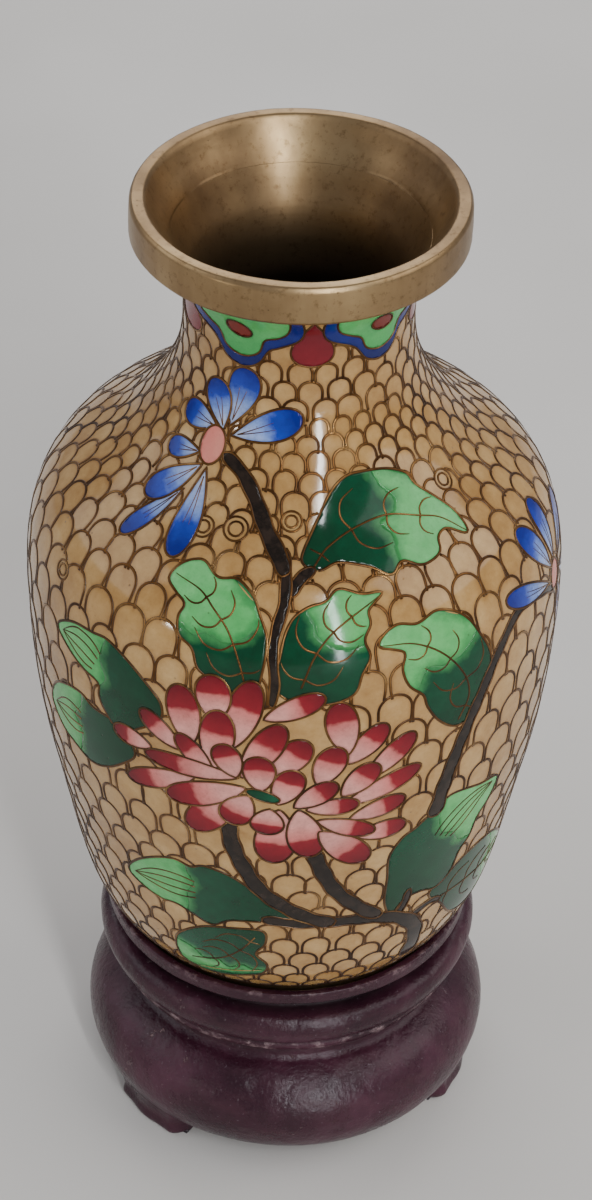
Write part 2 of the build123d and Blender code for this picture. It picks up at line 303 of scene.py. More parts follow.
def fill_figure(builder, outline, start, end, region=None, within=True):
    """Closed, slightly pillowed cell of enamel inside an outline of azimuth and arc length.

    It stops at figures that are already claimed, and keeps to the inside (or the outside) of a region.
    Point values: t runs from 0 at start to 1 at end, edge and meet are the distances in mm to the
    wires and to the region's border."""
    origin = outline.mean(axis=0)
    flat = to_flat(outline, origin)
    low = flat.min(axis=0)
    high = flat.max(axis=0)
    walls = [flat]
    for other, other_low, other_high in taken:
        if (other_low < outline.max(axis=0)).all() and (other_high > outline.min(axis=0)).all():
            walls.append(to_flat(other, origin))
    borders = list(walls)
    if region is not None:
        region = to_flat(region, origin)
        borders.append(region)
    xs = np.arange(low[0] + STEP / 2, high[0], STEP)
    ys = np.arange(low[1] + STEP / 2, high[1], STEP)
    grid = np.array([(x, y) for y in ys for x in xs]).reshape(-1, 2)
    grid = grid[inside(grid, flat)]
    for border in borders:
        grid = grid[edge_distance(grid, border) > STEP * 0.45]
    points = np.concatenate(borders + [grid])
    rings = []
    first = 0
    for border in borders:
        count = len(border)
        rings += [(first + i, first + (i + 1) % count) for i in range(count)]
        first += count
    result = delaunay_2d_cdt([Vector(p) for p in points], rings, [], 0, 1e-5)
    points = np.array([[v.x, v.y] for v in result[0]])
    triangles = np.array(result[2])
    corners = points[triangles]
    middles = corners.mean(axis=1)
    keep = inside(middles, flat) & ~is_taken(from_flat(middles, origin))
    if region is not None:
        keep &= inside(middles, region) == within
    triangles = triangles[keep]
    if not len(triangles):
        return
    ab = corners[keep, 1] - corners[keep, 0]
    ac = corners[keep, 2] - corners[keep, 0]
    clockwise = ab[:, 0] * ac[:, 1] - ab[:, 1] * ac[:, 0] < 0
    triangles[clockwise] = triangles[clockwise][:, ::-1]
    used, flat_index = np.unique(triangles, return_inverse=True)
    points = points[used]
    kept = [tuple(int(i) for i in f) for f in flat_index.reshape(-1, 3)]
    edges = {(f[i], f[(i + 1) % 3]) for f in kept for i in range(3)}
    border = [e for e in edges if (e[1], e[0]) not in edges]
    distance = np.min([edge_distance(points, wall) for wall in walls], axis=0)
    top_lift = FILL_LIFT + 0.02 * (1 - np.exp(-distance / 0.7))
    where = from_flat(points, origin)
    top = skin.points(where[:, 0], where[:, 1], top_lift)
    bottom = skin.points(where[:, 0], where[:, 1], -FILL_DEPTH)
    n = len(points)
    faces = kept + [tuple(i + n for i in f[::-1]) for f in kept]
    faces += [(b, a, a + n, b + n) for a, b in sorted(border)]
    meet = edge_distance(points, region) if region is not None else np.full(n, FAR)
    s0, s1 = to_flat([start, end], origin)
    d = s1 - s0
    t = ((points - s0) @ d) / max(d @ d, 1e-9)
    builder.add(np.concatenate([top, bottom]), faces, t=np.tile(t, 2), edge=np.tile(distance, 2),
        meet=np.tile(meet, 2), tone=rng.random())


def figure_wire(builder, path, width, closed=False, taper=False, height=0.15):
    """The stretches of a wire that no claimed figure covers."""
    p = resample(path, 0.35, closed)
    free = ~is_taken(p)
    if free.all():
        wire(builder, p, width, closed=closed, taper=taper, height=height)
        return
    if closed:
        p = np.roll(p, -int(np.argmin(free)), axis=0)
        free = ~is_taken(p)
    for run in np.split(np.arange(len(p)), np.where(np.diff(free.astype(int)) != 0)[0] + 1):
        if free[run[0]] and len(run) > 1:
            wire(builder, p[run], width, taper=taper, height=height)


def wire(builder, path, width, height, closed=False, step=0.5, taper=False):
    """Flat wire standing in the enamel: a low dome on two upright sides along a path.

    The point value across is low on top of the wire and high at its sides."""
    p = resample(path, step, closed)
    count = len(p)
    if count < 2:
        return
    centre = skin.points(p[:, 0], p[:, 1])
    up = skin.points(p[:, 0], p[:, 1], 1.0) - centre
    if closed:
        ahead = np.roll(centre, -1, axis=0) - np.roll(centre, 1, axis=0)
    else:
        ahead = np.gradient(centre, axis=0)
    side = np.cross(ahead, up)
    side /= np.maximum(np.linalg.norm(side, axis=1, keepdims=True), 1e-9)
    half = np.full(count, width / 2)
    if taper:
        half *= np.interp(np.linspace(0, 1, count), [0, 0.7, 1], [1, 0.85, 0.35])
    shape = [(-1, -WIRE_DEPTH, 1.0), (-1, height * 0.45, 0.9), (-0.45, height, 0.3), (0.45, height, 0.3),
        (1, height * 0.45, 0.9), (1, -WIRE_DEPTH, 1.0)]
    rows = []
    across = []
    for share, lift, value in shape:
        rows.append(centre + side * (share * half)[:, None] + up * lift)
        across.append(np.full(count, value))
    k = len(shape)
    verts = np.stack(rows, 1).reshape(-1, 3)
    values = np.stack(across, 1).reshape(-1)
    faces = quads(count, k, closed, flip=True)
    if not closed:
        faces.append(tuple(range(k))[::-1])
        faces.append(tuple((count - 1) * k + m for m in range(k)))
    builder.add(verts, faces, across=values, tone=rng.random())


def revolve(builder, profile, segments, dent=None, **values):
    """Body of revolution from a closed profile of radius and height, moved by a dent map if given."""
    profile = np.asarray(profile, float)
    count = len(profile)
    ahead = np.roll(profile, -1, axis=0) - np.roll(profile, 1, axis=0)
    norm = np.stack([ahead[:, 1], -ahead[:, 0]], -1)
    norm /= np.maximum(np.linalg.norm(norm, axis=1, keepdims=True), 1e-9)
    a = np.linspace(0, 2 * math.pi, segments, endpoint=False)
    grid = np.repeat(profile[None], segments, axis=0)
    if dent is not None:
        grid = grid + norm[None] * dent(a[:, None], profile[None, :, 0], profile[None, :, 1])[..., None]
    r = grid[..., 0]
    verts = np.stack([r * np.sin(a)[:, None], -r * np.cos(a)[:, None], grid[..., 1]], -1)
    builder.add(verts.reshape(-1, 3), quads(segments, count, closed=True), **values)


def waves(seed, count, low, high, amplitude):
    """Smooth pseudo-random field on a turned body: a sum of waves round it and up it."""
    source = random.Random(seed)
    terms = []
    for _ in range(count):
        terms.append((source.randint(low, high), source.uniform(-high, high) / 12, source.uniform(0, 6.28),
            source.uniform(0.3, 1.0)))
    total = sum(t[3] for t in terms)

    def field(a, r, z):
        out = 0.0
        for turns, pitch, phase, strength in terms:
            out = out + strength * np.sin(turns * a + pitch * (z + 0.6 * r) + phase)
        return amplitude * out / total * 2
    return field


# ---- node materials

def screen(tint):
    """A colour given as three screen values from 0 to 255, as linear values; a socket stays as it is."""
    if not isinstance(tint, tuple):
        return tint
    shares = [v / 255 for v in tint]
    return (*[v / 12.92 if v <= 0.04045 else ((v + 0.055) / 1.055) ** 2.4 for v in shares], 1.0)


class Material:
    """Small helper for node materials: every call adds a node and returns its output."""

    def __init__(self, name):
        self.data = bpy.data.materials.new(name)
        self.data.use_nodes = True
        self.tree = self.data.node_tree
        self.tree.nodes.clear()
        self.out = self.tree.nodes.new("ShaderNodeOutputMaterial")
        self.where = self.node("ShaderNodeTexCoord").outputs["Object"]

    def node(self, kind, settings=None, **inputs):
        made = self.tree.nodes.new(kind)
        for key, value in (settings or {}).items():
            setattr(made, key, value)
        for key, value in inputs.items():
            socket = made.inputs[int(key[1:])] if key[0] == "i" and key[1:].isdigit() else made.inputs[key]
            if isinstance(value, bpy.types.NodeSocket):
                self.tree.links.new(value, socket)
            else:
                socket.default_value = value
        return made

    def value(self, name):
        return self.node("ShaderNodeAttribute", {"attribute_name": name}).outputs["Fac"]

    def noise(self, scale, detail=4.0, rough=0.55, where=None):
        where = where or self.where
        made = self.node("ShaderNodeTexNoise", Vector=where, Scale=scale, Detail=detail, Roughness=rough)
        return made.outputs["Fac"]

    def cells(self, scale):
        return self.node("ShaderNodeTexVoronoi", Vector=self.where, Scale=scale).outputs["Distance"]

    def stretched(self, x, y, z):
        return self.node("ShaderNodeMapping", Vector=self.where, Scale=(x, y, z)).outputs["Vector"]

    def math(self, operation, a, b):
        return self.node("ShaderNodeMath", {"operation": operation}, i0=a, i1=b).outputs[0]

    def add(self, a, b):
        return self.math("ADD", a, b)

    def less(self, a, b):
        return self.math("SUBTRACT", a, b)

    def times(self, a, b):
        return self.math("MULTIPLY", a, b)

    def remap(self, value, low, high, to_low=0.0, to_high=1.0):
        return self.node("ShaderNodeMapRange", i0=value, i1=low, i2=high, i3=to_low, i4=to_high).outputs[0]

    def mix(self, share, a, b):
        return self.node("ShaderNodeMix", {"data_type": "RGBA"}, i0=share, i6=a, i7=screen(b)).outputs[2]

    def ramp(self, value, stops):
        made = self.node("ShaderNodeValToRGB", Fac=value)
        band = made.color_ramp
        while len(band.elements) < len(stops):
            band.elements.new(0.5)
        for element, (at, *tint) in zip(band.elements, stops):
            element.position = at
            element.color = screen(tuple(tint))
        return made.outputs["Color"]

    def bump(self, height, distance, strength):
        made = self.node("ShaderNodeBump", Height=height, Distance=distance * MM, Strength=strength)
        return made.outputs["Normal"]

    def finish(self, **inputs):
        names = {"color": "Base Color", "coat": "Coat Weight", "coat_rough": "Coat Roughness", "ior": "IOR"}
        sockets = {names.get(key, key.capitalize()): value for key, value in inputs.items()}
        shader = self.node("ShaderNodeBsdfPrincipled", **sockets)
        self.tree.links.new(shader.outputs[0], self.out.inputs["Surface"])
        return self.data


def enamel_surface(m, tint, dark, pits):
    """The finish shared by all enamel: cloudy colour, pinholes, a polished wavy gloss."""
    cloud = m.noise(330, 5.0, 0.65)
    speck = m.noise(1900, 3.0, 0.7)
    tint = m.mix(m.remap(cloud, 0.35, 0.7, 0.0, 0.30), tint, dark)
    tint = m.mix(m.remap(speck, 0.52, 0.75, 0.0, 0.22), tint, dark)
    hole = m.remap(m.cells(520), 0.0, 0.11, 1.0, 0.0)
    gate = m.remap(m.noise(160, 2.0), 0.52, 0.60)
    pit = m.times(m.times(hole, gate), pits)
    tint = m.mix(pit, tint, (52, 36, 24))
    height = m.add(m.times(m.noise(90, 3.0), 0.30), m.times(speck, 0.05))
    height = m.less(height, m.times(pit, 0.5))
    rough = m.add(m.remap(m.noise(240, 4.0), 0.3, 0.7, 0.06, 0.15), m.times(pit, 0.4))
    return tint, rough, m.bump(height, 0.16, 0.6)


def enamel(name, stops, dark, wobble=0.22, beyond=None):
    """Enamel whose colour runs along its figure; at a parting it runs into the colour beyond it."""
    m = Material(name)
    cloud = m.noise(420, 4.0)
    tint = m.ramp(m.add(m.value("t"), m.remap(cloud, 0.25, 0.75, -wobble, wobble)), stops)
    if beyond:
        blend = m.add(m.value("meet"), m.remap(cloud, 0.25, 0.75, -0.7, 0.7))
        tint = m.mix(m.remap(blend, 0.0, 1.6, 0.5, 0.0), tint, beyond)
    tint = m.mix(m.remap(m.value("edge"), 0.0, 0.55, 0.38, 0.0), tint, dark)
    tint = m.mix(m.remap(m.value("tone"), 0.0, 1.0, 0.0, 0.14), tint, dark)
    tint, rough, normal = enamel_surface(m, tint, dark, 0.8)
    return m.finish(color=tint, roughness=rough, normal=normal, coat=0.05, coat_rough=0.04, ior=1.33)


def ground_material():
    """Ochre ground: warmer and darker beside the wires, cloudy, with pinholes."""
    m = Material("enamel_ground")
    cloud = m.noise(120, 5.0, 0.65)
    tint = m.ramp(cloud, [(0.30, 154, 114, 62), (0.50, 178, 139, 84), (0.75, 198, 162, 108)])
    tint = m.mix(m.remap(m.value("near"), 0.0, 1.0, 0.0, 0.6), tint, (132, 84, 34))
    tint, rough, normal = enamel_surface(m, tint, (134, 94, 44), 1.0)
    return m.finish(color=tint, roughness=rough, normal=normal, coat=0.20, coat_rough=0.03, ior=1.45)


def wire_material():
    """Copper-alloy wire: polished along its top, darkened at its sides by painted shade, and dark with
    tarnish in patches.
    """
    m = Material("cloison_wire")
    patch = m.noise(140, 4.0, 0.6)
    base = m.ramp(patch, [(0.35, 66, 40, 18), (0.55, 108, 72, 36), (0.78, 172, 134, 84)])
    # painted shade: the sides of the wire darkened
    side = m.remap(m.value("across"), 0.35, 0.85)
    base = m.mix(side, base, (36, 20, 10))
    metal = m.remap(side, 0.0, 1.0, 0.9, 0.1)
    rough = m.remap(patch, 0.3, 0.7, 0.42, 0.26)
    normal = m.bump(m.noise(1400, 3.0), 0.03, 0.5)
    return m.finish(color=base, metallic=metal, roughness=rough, normal=normal)


def brass_material(name, shade_from, shade_to):
    """Aged brass: brown-gold, streaks down the wall, dull spots, and painted shade that darkens it with
    depth.
    """
    m = Material(name)
    streak = m.noise(55, 6.0, 0.6, m.stretched(1.0, 1.0, 0.10))
    patch = m.noise(38, 5.0, 0.6)
    speck = m.noise(900, 3.0, 0.7)
    mixed = m.add(m.times(streak, 0.55), m.times(patch, 0.45))
    base = m.ramp(mixed, [(0.34, 104, 82, 58), (0.50, 144, 118, 84), (0.66, 178, 152, 112)])
    base = m.mix(m.remap(speck, 0.55, 0.72, 0.0, 0.5), base, (88, 62, 34))
    height = m.node("ShaderNodeSeparateXYZ", Vector=m.where).outputs["Z"]
    # painted shade: darker and duller lower down, as deep inside the throat
    painted_depth_shade = m.remap(height, shade_from * MM, shade_to * MM)
    base = m.mix(painted_depth_shade, base, (62, 50, 42))
    spot = m.times(m.remap(m.cells(700), 0.0, 0.10, 1.0, 0.0), m.remap(m.noise(120), 0.5, 0.6))
    base = m.mix(spot, base, (60, 44, 28))
    rough = m.remap(mixed, 0.3, 0.7, 0.46, 0.28)
    rough = m.add(rough, m.times(painted_depth_shade, 0.25))
    turning = m.noise(900, 2.0, 0.5, m.stretched(0.02, 0.02, 1.0))
    height_map = m.add(m.times(turning, 0.5), m.times(speck, 0.35))
    height_map = m.less(height_map, spot)
    return m.finish(color=base, metallic=0.95, roughness=rough, normal=m.bump(height_map, 0.08, 0.5))


def copper_material():
    m = Material("oxidised_copper")
    patch = m.noise(60, 5.0, 0.6)
    base = m.ramp(patch, [(0.3, 58, 38, 26), (0.55, 96, 62, 38), (0.8, 120, 84, 52)])
    return m.finish(color=base, metallic=0.8, roughness=m.remap(patch, 0.3, 0.7, 0.6, 0.42),
        normal=m.bump(m.noise(500, 4.0), 0.08, 0.6))


def lining_material():
    m = Material("counter_enamel")
    base = m.ramp(m.noise(90, 5.0), [(0.3, 36, 74, 84), (0.7, 62, 112, 120)])
    return m.finish(color=base, roughness=m.remap(m.noise(300), 0.3, 0.7, 0.22, 0.38),
        normal=m.bump(m.noise(160, 5.0), 0.2, 0.6))


def wood_material():
    """Dark purple-brown stain under thick lacquer: bumpy, with bright chips on the turned edges, pale wear
    with a painted highlight on the fillet and lip, and painted shade in the grooves.
    """
    m = Material("lacquered_wood")
    patch = m.noise(60, 6.0, 0.65)
    base = m.ramp(patch, [(0.30, 36, 14, 24), (0.52, 54, 23, 36), (0.74, 78, 40, 56)])
    fibre = m.noise(90, 6.0, 0.6, m.stretched(1.0, 1.0, 5.0))
    base = m.mix(m.remap(fibre, 0.5, 0.75, 0.0, 0.35), base, (74, 44, 50))
    chip = m.remap(m.noise(330, 5.0, 0.75), 0.64, 0.69)
    chip = m.times(chip, m.remap(m.noise(70, 2.0), 0.50, 0.6))
    base = m.mix(m.times(chip, 0.6), base, (150, 122, 122))
    # pale edge wear and a painted highlight: the fillet and the lip lightened in rubbed spots
    rub_and_glint_noise = m.remap(m.noise(420, 5.0, 0.75), 0.50, 0.64)
    worn = m.times(m.remap(m.value("wear"), 0.35, 1.0), rub_and_glint_noise)
    base = m.mix(m.times(worn, 0.75), base, (150, 126, 128))
    # painted shade: the grooves under the lip, under the bead and in the cove darkened almost to black
    base = m.mix(m.times(m.value("grime"), 0.8), base, (10, 5, 7))
    dust = m.remap(m.noise(1500, 2.0, 0.8), 0.67, 0.74)
    base = m.mix(m.times(dust, 0.25), base, (150, 136, 144))
    rough = m.remap(m.noise(120, 6.0, 0.7), 0.3, 0.7, 0.20, 0.38)
    rough = m.add(rough, m.times(m.value("grime"), 0.4))
    lumps = m.add(m.times(m.noise(420, 5.0, 0.7), 0.9), m.times(m.noise(140, 4.0), 1.8))
    height = m.less(lumps, m.times(chip, 0.6))
    return m.finish(color=base, roughness=rough, normal=m.bump(height, 0.30, 0.9), ior=1.38)


BLUE_DARK = (16, 26, 84)
RED_DARK = (74, 14, 20)
MAT = {
    "ground": ground_material(),
    "wire": wire_material(),
    "petal": enamel("enamel_petal", [(0.30, 228, 160, 148), (0.58, 212, 122, 114), (0.64, 142, 26, 38),
        (0.93, 106, 12, 26)], RED_DARK, wobble=0.04),
    "blossom": enamel("enamel_blossom", [(0.10, 196, 206, 230), (0.42, 132, 160, 222), (0.64, 34, 62, 170),
        (0.88, 14, 30, 128)], BLUE_DARK, wobble=0.10),
    "pink": enamel("enamel_pink", [(0.0, 214, 122, 108), (1.0, 216, 138, 122)], (176, 96, 84)),
    "leaf": enamel("enamel_leaf_dark", [(0.0, 2, 56, 32), (0.6, 3, 74, 46), (1.0, 6, 88, 58)], (1, 30, 16),
        beyond=(88, 178, 98)),
    "mint": enamel("enamel_leaf_light", [(0.0, 66, 160, 84), (0.5, 88, 178, 98), (1.0, 112, 192, 116)],
        (30, 110, 56), beyond=(0, 74, 38)),
    "branch": enamel("enamel_branch", [(0.0, 46, 34, 26), (0.5, 26, 18, 12), (1.0, 50, 38, 30)], (12, 8, 4),
        wobble=0.9),
    "border": enamel("enamel_border", [(0.0, 14, 24, 84), (0.6, 22, 36, 122), (1.0, 12, 22, 72)], BLUE_DARK),
    "oval": enamel("enamel_oval", [(0.0, 108, 30, 18), (1.0, 124, 38, 24)], RED_DARK),
    "drop": enamel("enamel_drop", [(0.0, 112, 20, 32), (1.0, 126, 28, 38)], RED_DARK),
    "mouth": brass_material("aged_brass_mouth", 166.0, 146.0),
    "foot": brass_material("aged_brass_foot", -10.0, -20.0),
    "copper": copper_material(),
    "lining": lining_material(),
    "wood": wood_material(),
}


# ---- the pattern

def petal_outline(start, end, width, fullness):
    """Petal between two places: pointed at its start, round at its end."""
    origin = (start + end) / 2
    a, b = to_flat([start, end], origin)
    length = np.hypot(*(b - a))
    along = (b - a) / length
    across = np.array([-along[1], along[0]])
    t = (1 - np.cos(np.linspace(0, math.pi, 15))) / 2
    peak = fullness / (fullness + 0.5)
    half = t ** fullness * np.sqrt(np.maximum(1 - t, 0))
    half *= width / 2 / (peak ** fullness * math.sqrt(1 - peak))
    middle = a + along * (t * length)[:, None]
    left = middle + across * half[:, None]
    right = middle - across * half[:, None]
    return from_flat(np.concatenate([left, right[-2:0:-1]]), origin)


def petal_veins(builder, start, end, width):
    """Two short fine wires that fan from the base of a petal."""
    origin = (start + end) / 2
    a, b = to_flat([start, end], origin)
    across = np.array([a[1] - b[1], b[0] - a[0]])
    across *= width / np.hypot(*across)
    for offset in (-1 / 6, 1 / 6):
        path = [a + 0.10 * (b - a), a + 0.40 * (b - a) + across * 0.4 * offset,
            a + 0.62 * (b - a) + across * 0.7 * offset]
        figure_wire(builder, from_flat(smooth(path), origin), 0.2, height=0.11, taper=True)


# Leaves: outline, rib from base to tip, and the parting between dark base and light tip, all as places.
# A slender leaf has long wires that run to its tip in its light part; the others have curled side veins.
LEAVES = [
    dict(outline=[(2, 129), (6, 132), (12, 135.4), (18.5, 137.2), (26, 137.4), (36, 136.8), (43, 135.4),
            (44.5, 133.8), (49, 131.6), (52, 129.4), (51, 127.2), (46, 128.6), (42, 128.3), (40, 127),
            (34, 126.6), (29, 127.6), (25, 126.6), (20, 127.8), (12, 128.6), (6.5, 128)],
        rib=[(5, 128.2), (9.5, 130), (18.5, 131.5), (30, 132), (40.5, 130.7), (46.5, 129.6), (51, 127.4)],
        parting=[(29, 138), (30, 136.5), (31.5, 135), (34.5, 133.5), (32.5, 132), (27, 131.5), (29.5, 130),
            (28.5, 128.5), (28.5, 126.5)]),
    dict(outline=[(-31, 125.2), (-29, 127), (-24, 127.8), (-19, 126.6), (-14, 126.8), (-9.5, 125.4),
            (-7.4, 123.4), (-5.4, 120.5), (-6, 116), (-7.5, 112.5), (-12.5, 111), (-15, 113),
            (-19.5, 114.6), (-21.4, 117.6), (-24.8, 119), (-25.8, 121.4), (-25, 123), (-28, 124)],
        rib=[(-9.5, 113.5), (-11, 117), (-14, 121), (-18.5, 123.5), (-22.5, 125), (-29.5, 125.8)],
        parting=[(-27, 121), (-25, 120.5), (-21.5, 119.5), (-19, 120.2), (-14.5, 119.3), (-10.5, 120.3),
            (-8.5, 121.5), (-5, 123)]),
    dict(outline=[(21.5, 125.2), (16.5, 125.4), (11, 126.2), (7.5, 125), (4, 124.6), (0.5, 123.5),
            (-1.5, 121.5), (-2.6, 118), (-3.5, 113.5), (1, 111), (8, 110.6), (13, 112), (14.6, 115),
            (16.6, 117.6), (15.6, 120), (17.4, 122), (17.4, 123.6)],
        rib=[(2, 113.5), (4.5, 118), (8, 121), (13, 123), (21, 125)],
        parting=[(2.5, 125.5), (3.5, 124), (5, 122.5), (5.5, 121), (9.5, 119.5), (14, 119.2), (18, 120.5)]),
    dict(outline=[(18.5, 118.8), (20, 120.3), (23.5, 121.2), (28, 120.6), (33, 121.4), (37.5, 120.4),
            (40.5, 118.5), (42.5, 116), (45.4, 111.5), (45.6, 107.4), (44.5, 103.6), (41, 101),
            (36.5, 100.4), (32, 103), (29, 106.6), (28, 109), (24.8, 111.4), (23.4, 114.5), (24.2, 117),
            (21.5, 118)],
        rib=[(37, 101.5), (39.5, 105.5), (38, 110), (33, 115), (26.5, 118), (19, 118.8)],
        parting=[(24, 108.5), (26.5, 110), (29, 113.5), (33.5, 113), (38.5, 114), (44, 117.5)]),
    dict(outline=[(-58.5, 109), (-53, 112), (-46, 113), (-41.5, 113.4), (-36, 111.8), (-31, 109.2),
            (-27.5, 106.4), (-28, 103), (-33.5, 99.5), (-38, 97), (-42, 99.4), (-44, 102), (-44, 104.4),
            (-49, 105.2), (-54, 106.6)],
        rib=[(-32, 101.5), (-37, 105), (-44, 108), (-50, 109.4), (-57.5, 109)],
        parting=[(-41, 115), (-43, 112), (-43.6, 109), (-42, 106), (-45, 103)], slender=True),
    dict(outline=[(-64, 91.4), (-61, 96), (-55.5, 98.6), (-50, 99.6), (-46, 98.6), (-40, 98.6), (-36, 96.6),
            (-34.5, 93.6), (-38, 90.6), (-43, 87.6), (-48.5, 86), (-54, 86.8), (-60, 88)],
        rib=[(-36, 94), (-44, 93.4), (-54, 93), (-63, 91.8)],
        parting=[(-50, 101), (-50.4, 97), (-53, 94), (-51, 91), (-53, 85)], slender=True),
    dict(outline=[(-43, 63.8), (-38.5, 68), (-32, 71.4), (-27, 72.8), (-23, 72.2), (-19.5, 73.4),
            (-13.5, 72.4), (-9, 70), (-5, 67), (0, 64.6), (4, 62), (-6, 61.4), (-14, 60.6), (-19, 58.4),
            (-24, 59.8), (-28.5, 61), (-33, 60.6), (-39, 61.6)],
        rib=[(2, 63), (-9, 65.2), (-20, 66.4), (-31, 66), (-42, 64)],
        parting=[(-23, 75), (-24.5, 71.5), (-23, 68), (-25, 65), (-25, 62), (-27, 58)], slender=True),
    dict(outline=[(-31, 51), (-27, 54.6), (-21, 57.4), (-14, 58.6), (-6, 59), (-5.4, 55.5), (-8, 52.4),
            (-5, 49.6), (-6.5, 46.5), (-11.5, 45), (-18, 43.4), (-25, 43), (-31, 45)],
        rib=[(-8, 57), (-12, 53), (-18, 49.4), (-27, 47)],
        parting=[(-33, 51.4), (-30, 50.8), (-26, 50), (-23, 47.8), (-19, 48.6), (-16, 46.8), (-12, 48.4),
            (-9, 47.4), (-4, 48)]),
    dict(outline=[(53.5, 82.2), (47, 83.6), (41, 85), (37, 85.2), (33, 83.2), (29, 80.8), (26, 79.4),
            (23.5, 75.5), (24, 70), (24.5, 63.5), (27, 59.8), (30, 62.6), (35, 63), (39.5, 62), (44, 64),
            (45.5, 68.5), (48, 71), (49, 75), (52, 78)],
        rib=[(27.5, 61.5), (32, 69), (38, 76), (45, 80.6), (53, 82.2)],
        parting=[(34, 86), (35.5, 81), (37, 77), (41, 75), (44, 72), (50, 71)], slender=True),
    dict(outline=[(44, 56), (38, 61), (44, 64), (50, 66), (59, 65.4), (67, 62), (75, 56.4), (72.5, 52),
            (67.5, 48.6), (59, 48.6), (50, 51)],
        rib=[(43, 58.4), (52, 58), (62, 57), (74, 56.6)],
        parting=[(60, 68), (61, 64), (64, 60), (62, 56), (65, 52), (63, 46)]),
    dict(outline=[(186, 110), (192, 116), (200, 120.6), (207, 120), (213, 121.4), (217, 118), (211, 113),
            (206, 111.6), (202, 108.6), (193, 107.6)],
        rib=[(188, 110), (198, 114.4), (208, 117.2), (216, 118)],
        parting=[(200, 124), (203, 120), (202, 116), (206, 113), (207, 107)]),
    dict(outline=[(171, 105), (166, 111), (159, 115.4), (153, 114.8), (148, 115.6), (144, 113), (150, 108),
            (154, 107), (157, 103.4), (165, 102.6)],
        rib=[(170, 105.4), (162, 109.6), (153, 112.4), (145, 113.2)],
        parting=[(159, 119), (157, 114), (158, 110), (154, 108), (153, 102)]),
    dict(outline=[(188, 86), (196, 91), (202, 91.4), (207, 93.4), (214, 91), (219, 87), (211, 82.4),
            (202, 80), (193, 81.4)],
        rib=[(189, 85.4), (199, 86.8), (209, 87.4), (217, 87)],
        parting=[(204, 96), (205, 91), (203, 87), (206, 84), (205, 77)], slender=True),
    dict(outline=[(174, 80), (166, 84.4), (161, 84), (156, 85.4), (149, 82), (144, 76.6), (152, 74.4),
            (161, 73.6), (169, 75.6)],
        rib=[(173, 79.4), (164, 79.6), (155, 78.8), (146, 77)],
        parting=[(158, 88), (158, 83), (160, 79), (157, 76), (158, 71)], slender=True),
]


VEINS = [(0.10, 5.2), (0.32, 4.9), (0.53, 3.9), (0.73, 2.7)]     # place along the rib, and size in mm
TIP_VEINS = (-1.0, -0.36, 0.36, 1.0)       # a slender leaf's long wires, as shares of their spread


def leaf(outline, rib, parting, slender=False):
    """Leaf in two enamels that meet at the parting, with an outline wire, a midrib and veins."""
    wires = parts["leaf_wires"]
    edge = resample(smooth(places(outline), closed=True), 0.6, closed=True)
    spine = resample(smooth(places(rib)), 0.5)
    origin = edge.mean(axis=0)
    flat_edge = to_flat(edge, origin)
    flat_spine = to_flat(spine, origin)
    meet = to_flat(resample(smooth(places(parting)), 0.6), origin)
    away = flat_spine[-1] - meet.mean(axis=0)
    away *= 40 / np.hypot(*away)
    tip_side = from_flat(np.concatenate([meet, [meet[-1] + away, meet[0] + away]]), origin)
    fill_figure(parts["leaf_light"], edge, spine[0], spine[-1], tip_side)
    fill_figure(parts["leaf_dark"], edge, spine[0], spine[-1], tip_side, within=False)
    figure_wire(wires, edge, WIRE_W, closed=True)
    last = len(flat_spine) - 1
    if slender:
        share = np.linspace(0.56, 0.97, 9)
        at = (share * last).astype(int)
        run = np.gradient(flat_spine, axis=0)[at]
        out = np.stack([-run[:, 1], run[:, 0]], -1) / np.hypot(run[:, 0], run[:, 1])[:, None]
        for offset in TIP_VEINS:
            spread = 2.7 * offset * np.sin(math.pi * (0.28 + 0.72 * (share - 0.56) / 0.41))
            keep_inside(wires, smooth(flat_spine[at] + out * spread[:, None]), flat_edge, origin)
        claim(edge)
        return
    figure_wire(wires, spine, VEIN_W, taper=True, height=0.17)
    for i, (share, reach) in enumerate(VEINS):
        at = int(share * last)
        here = flat_spine[at]
        run = flat_spine[min(at + 2, last)] - flat_spine[max(at - 2, 0)]
        run /= np.hypot(*run)
        for hand in (-1, 1):
            out = hand * np.array([-run[1], run[0]])
            size = reach * (0.9 if (i + hand) % 2 else 1.0)
            curl = [here, here + (out * 0.45 - run * 0.05) * size, here + (out * 0.86 + run * 0.26) * size,
                here + (out + run * 0.80) * size]
            keep_inside(wires, smooth(curl), flat_edge, origin)
    claim(edge)


def keep_inside(wires, flat_path, flat_edge, origin):
    """A vein: only the part of it inside the leaf, clear of the leaf's outline."""
    path = to_flat(resample(from_flat(flat_path, origin), 0.4), origin)
    kept = inside(path, flat_edge) & (edge_distance(path, flat_edge) > 0.3)
    if not kept[0]:
        kept = kept[::-1]
        path = path[::-1]
    count = len(kept) if kept.all() else int(np.argmin(kept))
    if count > 4:
        figure_wire(wires, from_flat(path[:count], origin), VEIN_W, taper=True, height=0.14)


